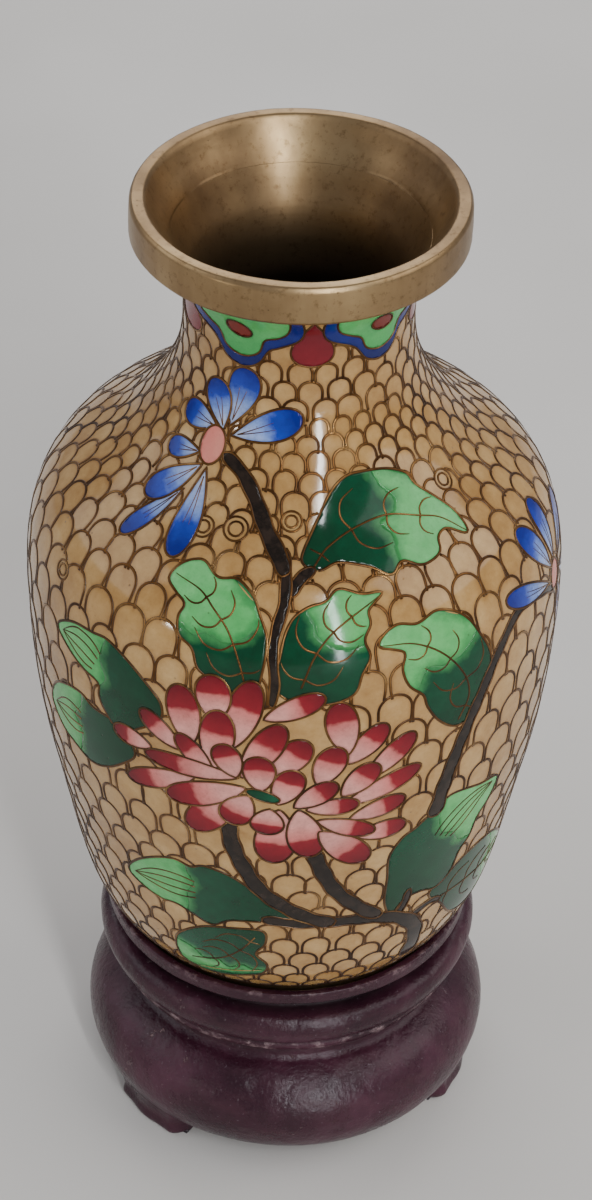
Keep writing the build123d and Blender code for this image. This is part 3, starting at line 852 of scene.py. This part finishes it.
# Petals of the large flower, the ones in front first: base and tip as azimuth, height, and the width.
FLOWER = [
    (-11, 95.5, -14.5, 101.8, 4.2), (-6, 93, -6.5, 100.3, 4.6), (-2.5, 90.5, 1.5, 97.8, 4.4),
    (1, 90, 10, 94.8, 3.7), (-4, 89.5, -5, 83.8, 4.7), (-8.5, 92, -13, 85.4, 4.8),
    (-9, 93.5, -27, 88.2, 4.5), (-10.5, 95.5, -32, 95.5, 3.4), (-16, 95.2, -24, 101.8, 3.4),
    (-16, 96.5, -14.5, 108.3, 5.0), (-10, 95.5, -1.5, 106.8, 4.5), (-3, 96.5, 3.5, 103.8, 4.6),
    (6, 94.5, 10, 102.3, 4.5), (11, 92, 18.5, 97.8, 4.2), (3.5, 89.5, 15, 90, 3.2), (6, 87, 19, 83, 3.3),
    (-30, 97, -40, 97.5, 3.4), (-23, 98.6, -32.5, 104, 3.5), (-21, 100, -23.5, 111.3, 5.0),
    (-15.5, 106, -16.5, 114.3, 5.1), (-12.5, 101, -7.5, 114.3, 4.8), (-5.5, 107.6, 7, 112, 3.5),
    (12, 100.5, 9.5, 110.8, 4.6), (12, 98.6, 20, 105.5, 3.8), (16, 95, 26.5, 102.4, 3.8),
    (11.5, 90, 28.5, 95.2, 3.6), (13, 86.8, 25.5, 89.2, 3.5), (14.5, 82.6, 26.5, 83, 3.8),
    (6.5, 84.5, 18, 76.2, 4.9), (2, 89.5, 5, 78.6, 5.2), (-2, 89.5, -3.5, 77, 5.8), (-11, 92, -22, 82.2, 5.2),
    (-20, 93.8, -37, 88.4, 3.6),
]
FLOWER_EYE = (-5.5, 92.2)
FLOWER_EDGE = [(-30, 98), (-24, 104), (-17, 108), (-5, 109), (4, 110), (9.5, 104), (17, 99), (22, 95),
    (20, 86), (14, 83), (5, 83), (-4, 82), (-13, 85), (-24, 89), (-29, 93)]


# Pieces of the pattern: the CAD node each replaces, its name, its material and its slot.
PIECES = {
    "flower_petals": ("flower_petal_enamel", "petal", "flower_enamel"),
    "flower_eye": ("flower_eye_enamel", "leaf", "dark_green_enamel"),
    "flower_wires": ("flower_cloisons", "wire", "wire"),
    "blossom_petals": ("blossom_petal_enamel", "blossom", "blue_enamel"),
    "blossom_centres": ("blossom_centre_enamel", "pink", "pink_enamel"),
    "blossom_wires": ("blossom_cloisons", "wire", "wire"),
    "branches": ("branch_enamel", "branch", "branch_enamel"),
    "branch_wires": ("branch_cloisons", "wire", "wire"),
    "leaf_dark": ("leaf_dark_enamel", "leaf", "dark_green_enamel"),
    "leaf_light": ("leaf_light_enamel", "mint", "light_green_enamel"),
    "leaf_wires": ("leaf_cloisons", "wire", "wire"),
    "lappet_borders": ("collar_border_enamel", "border", "deep_blue_enamel"),
    "lappet_fields": ("collar_field_enamel", "mint", "light_green_enamel"),
    "lappet_ovals": ("collar_oval_enamel", "oval", "red_enamel"),
    "lappet_drops": ("collar_drop_enamel", "drop", "red_enamel"),
    "collar_wires": ("collar_cloisons", "wire", "wire"),
}
parts = {node: Builder() for node in PIECES}


def oval(centre, half_w, half_h, skew=0.0, tilt=0.0, count=24):
    """Ellipse on the surface, its half axes in mm, pushed sideways by skew and up or down by tilt."""
    turn = np.linspace(0, 2 * math.pi, count, endpoint=False)
    flat = [half_w * np.cos(turn) - skew * np.sin(turn), half_h * np.sin(turn) - tilt * np.cos(turn)]
    return from_flat(np.stack(flat, -1), centre)


def closed_cell(fill, wires, outline, start, end, width):
    """One figure of one colour inside its own wire."""
    fill_figure(parts[fill], outline, start, end)
    figure_wire(parts[wires], outline, width, closed=True)
    claim(outline)


def petals(rows, share=1.0, fullness=1.05):
    """Each petal of a flower as its outline, its two ends and its width."""
    for a0, z0, a1, z1, width in rows:
        start = place(a0, z0)
        end = place(a1, z1)
        yield petal_outline(start, end, share * width, fullness), start, end, width


def eye_cell(fill, wires, outline, middle, width):
    """The closed centre of a flower."""
    fill_figure(parts[fill], outline, middle - (3, 0), middle + (3, 0))
    wire(parts[wires], outline, width, closed=True, height=0.15)
    claim(outline)


def large_flower():
    middle = place(*FLOWER_EYE)
    eye_cell("flower_eye", "flower_wires", oval(middle, 2.6, 1.2, skew=0.3, tilt=0.6), middle, 0.3)
    for outline, start, end, _ in petals(FLOWER, 1.1, 0.75):
        closed_cell("flower_petals", "flower_wires", outline, start, end, PETAL_WIRE_W)


# Blue blossoms: centre, its half width and half height in mm, and each petal from base to tip.
BLOSSOMS = [
    dict(centre=(-36, 139.4), size=(2.1, 3.0), petals=[
        (-33, 141.6, -43.5, 148.6, 4.6), (-30.5, 142.6, -24, 152.2, 5.2), (-29, 141.4, 3, 145.6, 4.8),
        (-36, 141.8, -57, 142.2, 4.2), (-40, 138, -56, 136.6, 3.4), (-37, 136.8, -52.5, 130.8, 4.4),
        (-35, 136.6, -33, 127, 4.4), (-40, 133.4, -50, 126.6, 3.2)]),
    dict(centre=(75, 112), size=(2.0, 2.6), petals=[
        (73, 114, 64, 123.8, 4.4), (75, 114.4, 76, 124.6, 4.2), (78, 113.4, 92, 119.6, 4.6),
        (79, 111, 93, 106, 4.4), (71, 112.4, 52, 117.4, 3.6), (77, 109.6, 82, 99.4, 4.2)]),
    dict(centre=(180, 127), size=(2.2, 2.6), petals=[
        (178, 128.6, 163, 133.6, 4.6), (181, 129, 183, 138, 5.0), (183, 128, 200, 129.4, 4.6),
        (182, 125.4, 192, 116.6, 4.6), (178, 125.2, 166, 118.6, 4.4)]),
    dict(centre=(128, 97), size=(2.2, 2.4), petals=[
        (126, 98.6, 115, 104.4, 4.6), (128.5, 99, 131, 108.6, 4.8), (131, 97.6, 144, 99.4, 4.6),
        (130, 95, 137, 86.6, 4.6), (126, 95.2, 116, 88.6, 4.6)]),
    dict(centre=(240, 106), size=(2.2, 2.4), petals=[
        (238, 107.6, 227, 113.4, 4.6), (240.5, 108, 243, 117.6, 4.8), (243, 106.6, 256, 108.4, 4.6),
        (242, 104, 249, 95.6, 4.6), (238, 104.2, 228, 97.6, 4.6)]),
]


def blossoms():
    wires = parts["blossom_wires"]
    for blossom in BLOSSOMS:
        centre = place(*blossom["centre"])
        outline = oval(centre, *blossom["size"])
        eye_cell("blossom_centres", "blossom_wires", outline, centre, BLOSSOM_WIRE_W)
        for outline, start, end, width in petals(blossom["petals"]):
            fill_figure(parts["blossom_petals"], outline, start, end)
            figure_wire(wires, outline, BLOSSOM_WIRE_W, closed=True)
            petal_veins(wires, start, end, width)
            claim(outline)


def leaves():
    for spec in LEAVES:
        leaf(**spec)


# Branches: width at the start and end in mm, then the places they run through.
BRANCHES = [
    (2.0, 2.4, [(-30, 138.6), (-26, 138.4), (-19.5, 137), (-13.5, 134.5), (-8.5, 131.5), (-4.5, 129.4),
        (-2, 127.6)]),
    (1.7, 1.3, [(-3, 130), (-2, 127.6), (-2, 125), (-3.4, 122), (-4, 118.5), (-3.4, 114), (-4, 110)]),
    (1.5, 2.0, [(5.5, 128.2), (2, 127.4), (-1, 125.6)]),
    (1.2, 3.0, [(74, 110), (66, 113), (56, 114.5), (49, 111), (44, 105.5), (40, 99.5), (37, 93.5), (35, 88),
        (33.5, 82)]),
    (1.4, 1.8, [(40.4, 101.8), (40, 98), (37.6, 94)]),
    (2.7, 3.0, [(-13, 86), (-12.4, 80.6), (-10, 75.2), (-6, 69.5), (1.5, 64.6), (8, 61.9), (12, 60.9)]),
    (2.6, 2.6, [(5.4, 80), (8.5, 73.5), (12.5, 68.2), (19, 63.2), (24, 60.4)]),
    (2.2, 3.2, [(-6, 62.2), (2, 61.4), (10, 61.2), (20, 60.6), (29, 58.3), (35, 54.5), (37, 50),
        (36.5, 44.6)]),
    (1.2, 1.8, [(31, 65), (30.5, 61.5), (28, 58.4)]),
    (1.2, 1.7, [(43, 57.6), (39, 58.6), (33, 57)]),
    (1.3, 2.6, [(181, 124), (178, 115), (176, 104), (178, 92), (184, 78), (186, 66)]),
    (1.2, 1.8, [(131, 94), (146, 90), (162, 92), (176, 98)]),
    (1.2, 1.8, [(237, 104), (222, 101), (200, 104), (178, 110)]),
]


def branch(first, last, points):
    """Branch whose width runs from first to last, a little knotty, with rounded ends."""
    path = resample(smooth(places(points)), 0.7)
    origin = path.mean(axis=0)
    flat = to_flat(path, origin)
    ahead = np.gradient(flat, axis=0)
    ahead /= np.hypot(ahead[:, 0], ahead[:, 1])[:, None]
    across = np.stack([-ahead[:, 1], ahead[:, 0]], -1)
    half = np.linspace(first, last, len(flat)) / 2
    half *= 1 + 0.08 * np.sin(np.arange(len(flat)) * 0.9)
    half[:2] *= (0.45, 0.85)
    half[-2:] *= (0.85, 0.45)
    ring = np.concatenate([flat + across * half[:, None], (flat - across * half[:, None])[::-1]])
    outline = from_flat(ring, origin)
    closed_cell("branches", "branch_wires", outline, path[0], path[-1], PETAL_WIRE_W)


def branches():
    for spec in BRANCHES:
        branch(*spec)


LAPPETS = 5
LAPPET_AZIMUTH = -29.0
LAPPET_Z = 159.2
TOP_S = skin.length - 0.6


def cloud_outline(grow):
    """Three-lobed cloud collar, flat, its open top running up under the mouth ring."""
    low = -grow
    outline = [(-9.2 + low, 3.2), (-8.4 + low, 0.6 * low), (-5.6, -1.6 + low),
        (-3.9 + 0.3 * low, -2.6 + low), (-2.4, -4.9 + low), (0.4, -5.8 + low), (3.0, -4.7 + low),
        (4.3 - 0.3 * low, -2.2 + low), (6.2, -1.4 + low), (8.6 - low, 0.2 + 0.6 * low), (9.2 - low, 3.2),
        (7.6 - 0.5 * low, 6.0 - 0.4 * low), (3.6, 6.6 - 0.4 * low), (-3.6, 6.6 - 0.4 * low),
        (-7.6 + 0.5 * low, 6.0 - 0.4 * low)]
    return smooth(outline, closed=True, per_span=5)


def collar():
    """Cloud collar under the mouth: blue borders, green fields, red ovals, and drops between them."""
    for i in range(LAPPETS):
        centre = place(LAPPET_AZIMUTH + 360 / LAPPETS * i, LAPPET_Z)
        squeeze = skin.radius(centre[1]) / 18.2
        outer = from_flat(cloud_outline(1.05) * (squeeze, 1), centre)
        inner = from_flat(cloud_outline(-0.80) * (squeeze, 1), centre)
        outer[:, 1] = np.minimum(outer[:, 1], TOP_S)
        inner[:, 1] = np.minimum(inner[:, 1], TOP_S)
        eye = oval(centre - (0, 0.2), 2.1, 1.35, tilt=0.3)
        rings = (("lappet_ovals", eye, 0.28), ("lappet_fields", inner, 0.32), ("lappet_borders", outer, 0.34))
        for fill, outline, width in rings:
            closed_cell(fill, "collar_wires", outline, centre - (0, 6), centre + (0, 6), width)
    for i in range(LAPPETS):
        between = LAPPET_AZIMUTH + 360 / LAPPETS * (i + 0.5)
        top = place(between, LAPPET_Z + 3.0)
        foot = place(between, LAPPET_Z - 5.6)
        outline = petal_outline(top, foot, 6.4, fullness=1.3)
        closed_cell("lappet_drops", "collar_wires", outline, top, foot, 0.32)


# Scale pattern: how many scales a row has at a height, and how high a row is for its width.
ROW_COUNTS = [(0.0, 43), (133.0, 36), (144.0, 27)]
ROW_SHARE = [(40.0, 0.70), (56.0, 0.76), (80.0, 0.88), (115.0, 0.88), (126.0, 0.76), (140.0, 0.72),
    (170.0, 0.80)]


def arch(width, height, lean):
    """Wire of one scale, from its left foot over the top to its right foot."""
    half = width / 2
    leg = max(height - half, 0.10 * height)
    turn = np.linspace(math.pi, 0, 13)
    x = np.concatenate([[-half * 0.93, -half * 0.99], half * np.cos(turn), [half * 0.99, half * 0.93]])
    y = np.concatenate([[0.0, leg * 0.5], leg + (height - leg) * np.sin(turn), [leg * 0.5, 0.0]])
    return np.stack([x + lean * y, y], -1)


def scale_wires(builder):
    """Staggered rows of scales over the whole ground; returns points along every wire for the ground."""
    samples = []
    s = -1.2
    row = 0
    while s < skin.length - 0.5:
        height_here = float(np.interp(s, skin.s, skin.z))
        count = [n for z, n in ROW_COUNTS if height_here >= z][-1]
        width = 2 * math.pi * float(skin.radius(s)) / count
        pitch = width * float(np.interp(height_here, *zip(*ROW_SHARE)))
        shift = 0.5 * (row % 2) + 0.06 * math.sin(row * 2.1)
        for i in range(count):
            wide = width * rng.uniform(0.93, 1.05) - SCALE_WIRE_W
            tall = pitch * rng.uniform(0.97, 1.08) + 0.15
            azimuth = (i + shift + rng.uniform(-0.06, 0.06)) * 360 / count - 180
            flat = arch(wide, tall, rng.uniform(-0.05, 0.05))
            flat[:, 1] += rng.uniform(-0.12, 0.12)
            path = flat.copy()
            path[:, 1] += s
            path[:, 0] = azimuth + flat[:, 0] * 180 / math.pi / skin.radius(path[:, 1])
            path = resample(path, 0.4)
            free = ~is_taken(path) & (path[:, 1] > 0.15) & (path[:, 1] < TOP_S)
            samples.append(path[free])
            runs = np.split(np.arange(len(path)), np.where(np.diff(free.astype(int)) != 0)[0] + 1)
            for run in runs:
                if free[run[0]] and len(run) > 2:
                    wire(builder, path[run], SCALE_WIRE_W, step=0.55, height=0.12)
        s += pitch
        row += 1
    return np.concatenate(samples)


FILLER_RINGS = [(-28, 130.6, 1.5), (-18, 131.2, 1.7), (-1, 132.6, 1.4), (56, 132.4, 1.5), (-60, 118, 1.4),
    (150, 124, 1.5), (210, 132, 1.4)]


def filler_rings(builder):
    """Small double rings that fill bare corners between the figures."""
    for azimuth, height, radius in FILLER_RINGS:
        centre = place(azimuth, height)
        for size in (radius * 1.1, radius * 0.66):
            figure_wire(builder, oval(centre, size, size, count=20), 0.34, closed=True, height=0.14)
        claim(oval(centre, radius * 1.1, radius * 1.1, count=20))


def ground(samples):
    """Ground enamel: a dense shell that dips a little in the middle of every scale."""
    dips = KDTree(len(samples))
    for i, point in enumerate(skin.points(samples[:, 0], samples[:, 1])):
        dips.insert(point, i)
    dips.balance()
    rows = np.linspace(0.0, skin.length, int(skin.length / 0.5))
    count = 520
    azimuth = np.linspace(-180, 180, count, endpoint=False)
    a, s = np.meshgrid(azimuth, rows)
    flat_points = skin.points(a, s).reshape(-1, 3)
    distance = np.array([dips.find(p)[2] for p in flat_points])
    dip = -0.014 * (1 - np.exp(-(distance / 0.7) ** 2))
    top = skin.points(a.reshape(-1), s.reshape(-1), dip)
    near = np.exp(-(distance / 0.42) ** 2)
    back = skin.points(a.reshape(-1), s.reshape(-1), -0.6)
    n = len(rows)
    total = n * count
    faces = quads(n, count, flip=True)
    faces += [tuple(total + v for v in f[::-1]) for f in faces]
    first = (n - 1) * count
    for j in range(count):
        k = (j + 1) % count
        faces.append((j, total + j, total + k, k))
        faces.append((first + k, total + first + k, total + first + j, first + j))
    builder = Builder()
    builder.add(np.concatenate([top, back]), faces, near=np.tile(near, 2))
    builder.make("ground_enamel_shell", "vase", MAT["ground"], "ground_enamel", ["ground_enamel"])


# ---- metal and wood

def rounded(points, radius, per_corner):
    """Open profile with every corner between its ends turned into a small curve."""
    p = np.asarray(points, float)
    out = [p[0]]
    for before, corner, after in zip(p[:-2], p[1:-1], p[2:]):
        to_before = before - corner
        to_after = after - corner
        r1 = min(radius, 0.45 * np.hypot(*to_before))
        r2 = min(radius, 0.45 * np.hypot(*to_after))
        a = corner + to_before / np.hypot(*to_before) * r1
        b = corner + to_after / np.hypot(*to_after) * r2
        for t in np.linspace(0, 1, per_corner):
            out.append((1 - t) ** 2 * a + 2 * t * (1 - t) * corner + t ** 2 * b)
    out.append(p[-1])
    return np.array(out)


def subdivided(profile, step):
    """A closed profile with extra points on its long stretches."""
    out = []
    for a, b in zip(profile, np.roll(profile, -1, axis=0)):
        count = max(int(np.hypot(*(b - a)) / step), 1)
        out += [a + (b - a) * i / count for i in range(count)]
    return np.array(out)


def mouth():
    """Brass mouth: slightly crowned band, worn flat lip and the top of the funnel."""
    low, high = (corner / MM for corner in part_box("mouth_ring"))
    outer = high.x
    top = high.z
    bottom = low.z
    lip = outer - 2.4
    band = [(20.0, bottom), (outer - 0.5, bottom), (outer - 0.05, bottom + 0.5),
        (outer, (bottom + top) / 2), (outer - 0.08, top - 0.6), (outer - 0.5, top), (lip + 0.3, top),
        (lip - 0.15, top - 0.5)]
    inner = [(r, z) for r, z in FUNNEL if bottom + 0.1 < z < top - 0.6]
    seam = [(funnel_radius(bottom + 0.04), bottom + 0.04), (funnel_radius(bottom), bottom),
        (funnel_radius(bottom) + 0.04, bottom)]
    profile = subdivided(np.concatenate([rounded(band, 0.25, 4), inner, seam]), 0.5)
    pits = waves(5, 26, 9, 60, 0.018)
    swell = waves(6, 8, 2, 7, 0.06)
    builder = Builder()
    revolve(builder, profile, 320, lambda a, r, z: pits(a, r, z) + swell(a, r, z))
    builder.make("mouth_brass", "vase", MAT["mouth"], "brass", ["mouth_ring"])


def funnel():
    """Inside of the mouth and neck, from the lip down to the throat and out to the shoulder."""
    low, high = (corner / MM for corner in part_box("mouth_ring"))
    lip = high.x - 2.4
    top = high.z
    bottom = low.z
    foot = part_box("neck_shell")[0].z / MM
    return smooth([(lip - 0.15, top - 0.5), (lip - 1.5, top - 3.0), (lip - 3.2, bottom + 0.5),
        (17.6, bottom - 3.2), (16.1, bottom - 6.4), (15.2, bottom - 9.6), (14.9, bottom - 12.4),
        (14.9, 149.5), (15.6, 147.0), (16.4, 144.5), (17.9, foot)], per_span=6)


FUNNEL = funnel()


def funnel_radius(height):
    return float(np.interp(height, FUNNEL[::-1, 1], FUNNEL[::-1, 0]))


def neck():
    """Copper neck, its inside running on from the funnel of the mouth without a step."""
    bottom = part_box("mouth_ring")[0].z / MM
    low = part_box("neck_shell")[0].z / MM
    outside = [(float(skin.radius(skin.along(z))) - 0.9, z) for z in np.arange(low, bottom, 0.6)]
    seam = [(outside[-1][0], bottom), (funnel_radius(bottom) + 0.04, bottom),
        (funnel_radius(bottom), bottom), (funnel_radius(bottom - 0.04), bottom - 0.04)]
    inside_curve = [(r, z) for r, z in FUNNEL if low < z < bottom - 0.1]
    builder = Builder()
    revolve(builder, np.array(outside + seam + inside_curve), 320)
    builder.make("neck_copper", "vase", MAT["mouth"], "copper", ["neck_shell"])


def edge_wire():
    """Thin closing wires where the enamel ends at the brass band and at the foot."""
    builder = Builder()
    turn = np.linspace(-180, 180, 240, endpoint=False)
    for s in (skin.length - 0.3, 0.35):
        path = np.stack([turn, np.full(len(turn), s)], -1)
        wire(builder, path, 0.5, closed=True, height=0.16, step=0.6)
    builder.make("edge_cloisons", "vase", MAT["wire"], "wire")


def stand():
    """Turned stand with a worn fillet that also carries a painted highlight, painted shade in its grooves,
    small dents and a softly uneven lacquer.
    """
    low, high = (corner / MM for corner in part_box("stand_body"))
    outer = high.x
    top = high.z
    under = low.z
    torus_z = under + 9.6
    half_w = 9.4
    half_h = 9.7
    mid = outer - half_w
    recess = top - 2.3
    head = [(0.0, recess), (28.9, recess), (28.9, top), (30.3, top), (30.3, top - 2.3), (27.7, top - 3.6),
        (27.5, top - 5.0)]
    bead = smooth([(27.5, top - 5.0), (30.6, top - 5.5), (31.7, top - 7.9), (30.9, top - 10.4),
        (29.2, top - 11.4)], per_span=6)[1:]
    fillet = [(29.9, top - 11.9), (29.8, top - 13.0)]
    cove = smooth([(29.8, top - 13.0), (27.2, top - 13.9), (25.9, top - 15.6),
        (26.4, torus_z + half_h * 0.985)], per_span=5)[1:]
    ring = [(mid + half_w * math.cos(u), torus_z + half_h * math.sin(u))
        for u in np.linspace(1.25, -1.36, 22)]
    under_side = [(mid, under), (17.0, under), (14.5, under + 4.5), (0.0, under + 5.5)]
    profile = np.concatenate([rounded(head, 0.35, 4), bead, fillet, cove, ring, under_side])
    profile = subdivided(profile, 0.8)
    profile = profile[profile[:, 0] >= 0]
    dents = waves(21, 30, 5, 40, 0.05)
    swell = waves(22, 6, 2, 5, 0.10)
    scars = []
    for i in range(60):
        turn = random.Random(31 + i).uniform(0, 6.28)
        height = random.Random(71 + i).uniform(under + 2, top - 3)
        scars.append((turn, height, random.Random(131 + i).uniform(0.5, 1.3)))

    def dent(a, r, z):
        out = (dents(a, r, z) + swell(a, r, z)) * np.clip((r - 12) / 6, 0, 1)
        for turn, height, size in scars:
            round_gap = ((a - turn + math.pi) % (2 * math.pi) - math.pi) * r / size
            out = out - 0.16 * size * np.exp(-round_gap ** 2 - ((z - height) / size) ** 2)
        return out

    r, z = profile.T
    # the fillet and lip edges carry pale wear together with a painted highlight
    fillet_edge = (r > 29) & (abs(z - (top - 12.4)) < 0.9)
    lip_edge = (r > 29.6) & (z > top - 0.4)
    wear = np.where(fillet_edge, 1.0, np.where(lip_edge, 0.7, 0.0))
    # painted shade for the grooves, strongest at each groove's centre
    grime = np.zeros(len(profile))
    grooves = ((27.6, top - 4.4, 1.5), (29.3, top - 11.3, 0.7), (26.0, top - 15.4, 1.6))
    for groove_r, groove_z, reach in grooves:
        gap = np.hypot(r - groove_r, z - groove_z)
        grime = np.maximum(grime, np.exp(-(gap / reach) ** 2))
    builder = Builder()
    count = 300
    revolve(builder, profile[::-1], count, dent, wear=np.tile(wear[::-1], count),
        grime=np.tile(grime[::-1], count))
    builder.make("stand_wood", "stand", MAT["wood"], "stand_wood", ["stand_body"])


def stand_feet():
    """Carved feet: each hugs the big ring, is cut back at its ends and turns out at the toe."""
    centres = (-48.0, 72.0, 192.0)
    half_span = 15.0
    back_r = 22.6
    section = [(back_r, 0.0), (30.4, 0.0), (31.7, 0.25), (32.2, 1.2), (31.7, 2.8), (32.1, 4.6), (32.6, 6.4),
        (31.4, 7.4), (28.0, 5.0), (back_r, 3.0)]
    section = subdivided(rounded(section, 0.5, 3), 0.7)
    count = len(section)
    builder = Builder()
    rows = np.concatenate([[-1.0], np.linspace(-0.985, 0.985, 33), [1.0]])
    for centre in centres:
        verts = []
        for u in rows:
            shrink = 1 - 0.30 * max(abs(u) - 0.70, 0) ** 2 / 0.09
            scallop = 0.5 * math.cos(u * 2 * math.pi) * (1 - u * u)
            angle = math.radians(centre + half_span * u)
            for r, z in section:
                rr = back_r + (r - back_r) * (shrink if r > 30 else 1) + (scallop * 0.35 if r > 31.5 else 0)
                zz = z if z < 1.0 else z * (0.7 + 0.3 * shrink)
                verts.append((rr * math.sin(angle), -rr * math.cos(angle), max(zz, 0.0)))
        faces = quads(len(rows), count)
        faces.append(tuple(range(count)))
        faces.append(tuple((len(rows) - 1) * count + m for m in range(count))[::-1])
        builder.add(verts, faces, wear=0.25)
    builder.make("stand_carved_feet", "stand", MAT["wood"], "stand_wood", ["stand_feet"])


def dress_cad_nodes():
    """CAD pieces that stay as they are get their finish."""
    finishes = {"belly_shell": "copper", "shoulder_shell": "copper", "base_plate": "copper",
        "foot_ring": "foot", "inner_lining": "lining", "base_enamel": "lining"}
    for name, key in finishes.items():
        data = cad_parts[name].data
        data.materials.clear()
        data.materials.append(MAT[key])


# ---- stage, light and camera

def floor():
    m = Material("pale_floor")
    tint = m.ramp(m.noise(6, 3.0), [(0.3, 200, 196, 190), (0.7, 212, 208, 203)])
    finish = m.finish(color=tint, roughness=0.7)
    mesh = bpy.data.meshes.new("floor")
    reach = 3.0
    corners = [(-reach, -reach, 0), (reach, -reach, 0), (reach, reach, 0), (-reach, reach, 0)]
    mesh.from_pydata(corners, [], [(0, 1, 2, 3)])
    mesh.materials.append(finish)
    put("floor", mesh)


def area_light(name, where, target, width, height, power, tint):
    data = bpy.data.lights.new(name, "AREA")
    data.shape = "RECTANGLE"
    data.size = width
    data.size_y = height
    data.energy = power
    data.color = tint
    lamp = put(name, data)
    lamp.location = where
    lamp.rotation_euler = (Vector(target) - lamp.location).to_track_quat("-Z", "Y").to_euler()


def lights():
    middle = (0, 0, 0.10)
    area_light("window", (0.46, -1.36, 0.80), middle, 0.07, 1.75, 20.0, (0.94, 0.97, 1.0))
    area_light("far_lamp", (-1.13, -0.98, 0.30), middle, 0.10, 0.10, 1.2, (1.0, 0.97, 0.9))
    area_light("soft_right", (1.5, -0.2, 1.3), middle, 1.6, 1.4, 14.0, (1.0, 0.98, 0.95))
    area_light("soft_left", (-1.6, 0.1, 1.0), middle, 1.6, 1.2, 7.0, (0.95, 0.97, 1.0))
    area_light("back", (0.0, 1.1, 0.9), middle, 1.6, 0.8, 9.0, (0.97, 0.98, 1.0))
    world = bpy.data.worlds.new("studio")
    bpy.context.scene.world = world
    world.use_nodes = True
    world.node_tree.nodes["Background"].inputs["Color"].default_value = (0.78, 0.80, 0.86, 1.0)
    world.node_tree.nodes["Background"].inputs["Strength"].default_value = 0.45


VIEW_DOWN = 38.66          # degrees below the horizon
VIEW_ROLL = 1.17
VIEW_DISTANCE = 523.1
VIEW_HEIGHT = 98.0         # height on the axis that the camera looks at
LENS = 99.3                # for a frame 36 mm high
SHIFT = (0.0023, -0.0039)


def camera():
    data = bpy.data.cameras.new("camera")
    data.sensor_fit = "VERTICAL"
    data.sensor_height = 36.0
    data.lens = LENS
    data.shift_x, data.shift_y = SHIFT
    data.clip_start = 0.01
    view = put("camera", data)
    down = math.radians(VIEW_DOWN)
    roll = math.radians(VIEW_ROLL)
    forward = Vector((0, math.cos(down), -math.sin(down)))
    right = Vector((1, 0, 0))
    up = right.cross(forward)
    rolled_right = right * math.cos(roll) + up * math.sin(roll)
    rolled_up = up * math.cos(roll) - right * math.sin(roll)
    turn = Matrix((rolled_right, rolled_up, -forward)).transposed().to_4x4()
    place_at = Vector((0, 0, VIEW_HEIGHT * MM)) - forward * VIEW_DISTANCE * MM
    view.matrix_world = Matrix.Translation(place_at) @ turn
    bpy.context.scene.camera = view


# ---- build

large_flower()
blossoms()
branches()
leaves()
claim(smooth(places(FLOWER_EDGE), closed=True, per_span=5))
collar()
for node, (name, material, slot) in PIECES.items():
    parts[node].make(name, "vase", MAT[material], slot, [node])
scales = Builder()
filler_rings(scales)
wire_points = scale_wires(scales)
scales.make("scale_cloisons", "vase", MAT["wire"], "wire")
ground(wire_points)
mouth()
neck()
edge_wire()
stand()
stand_feet()
dress_cad_nodes()
floor()
lights()
camera()
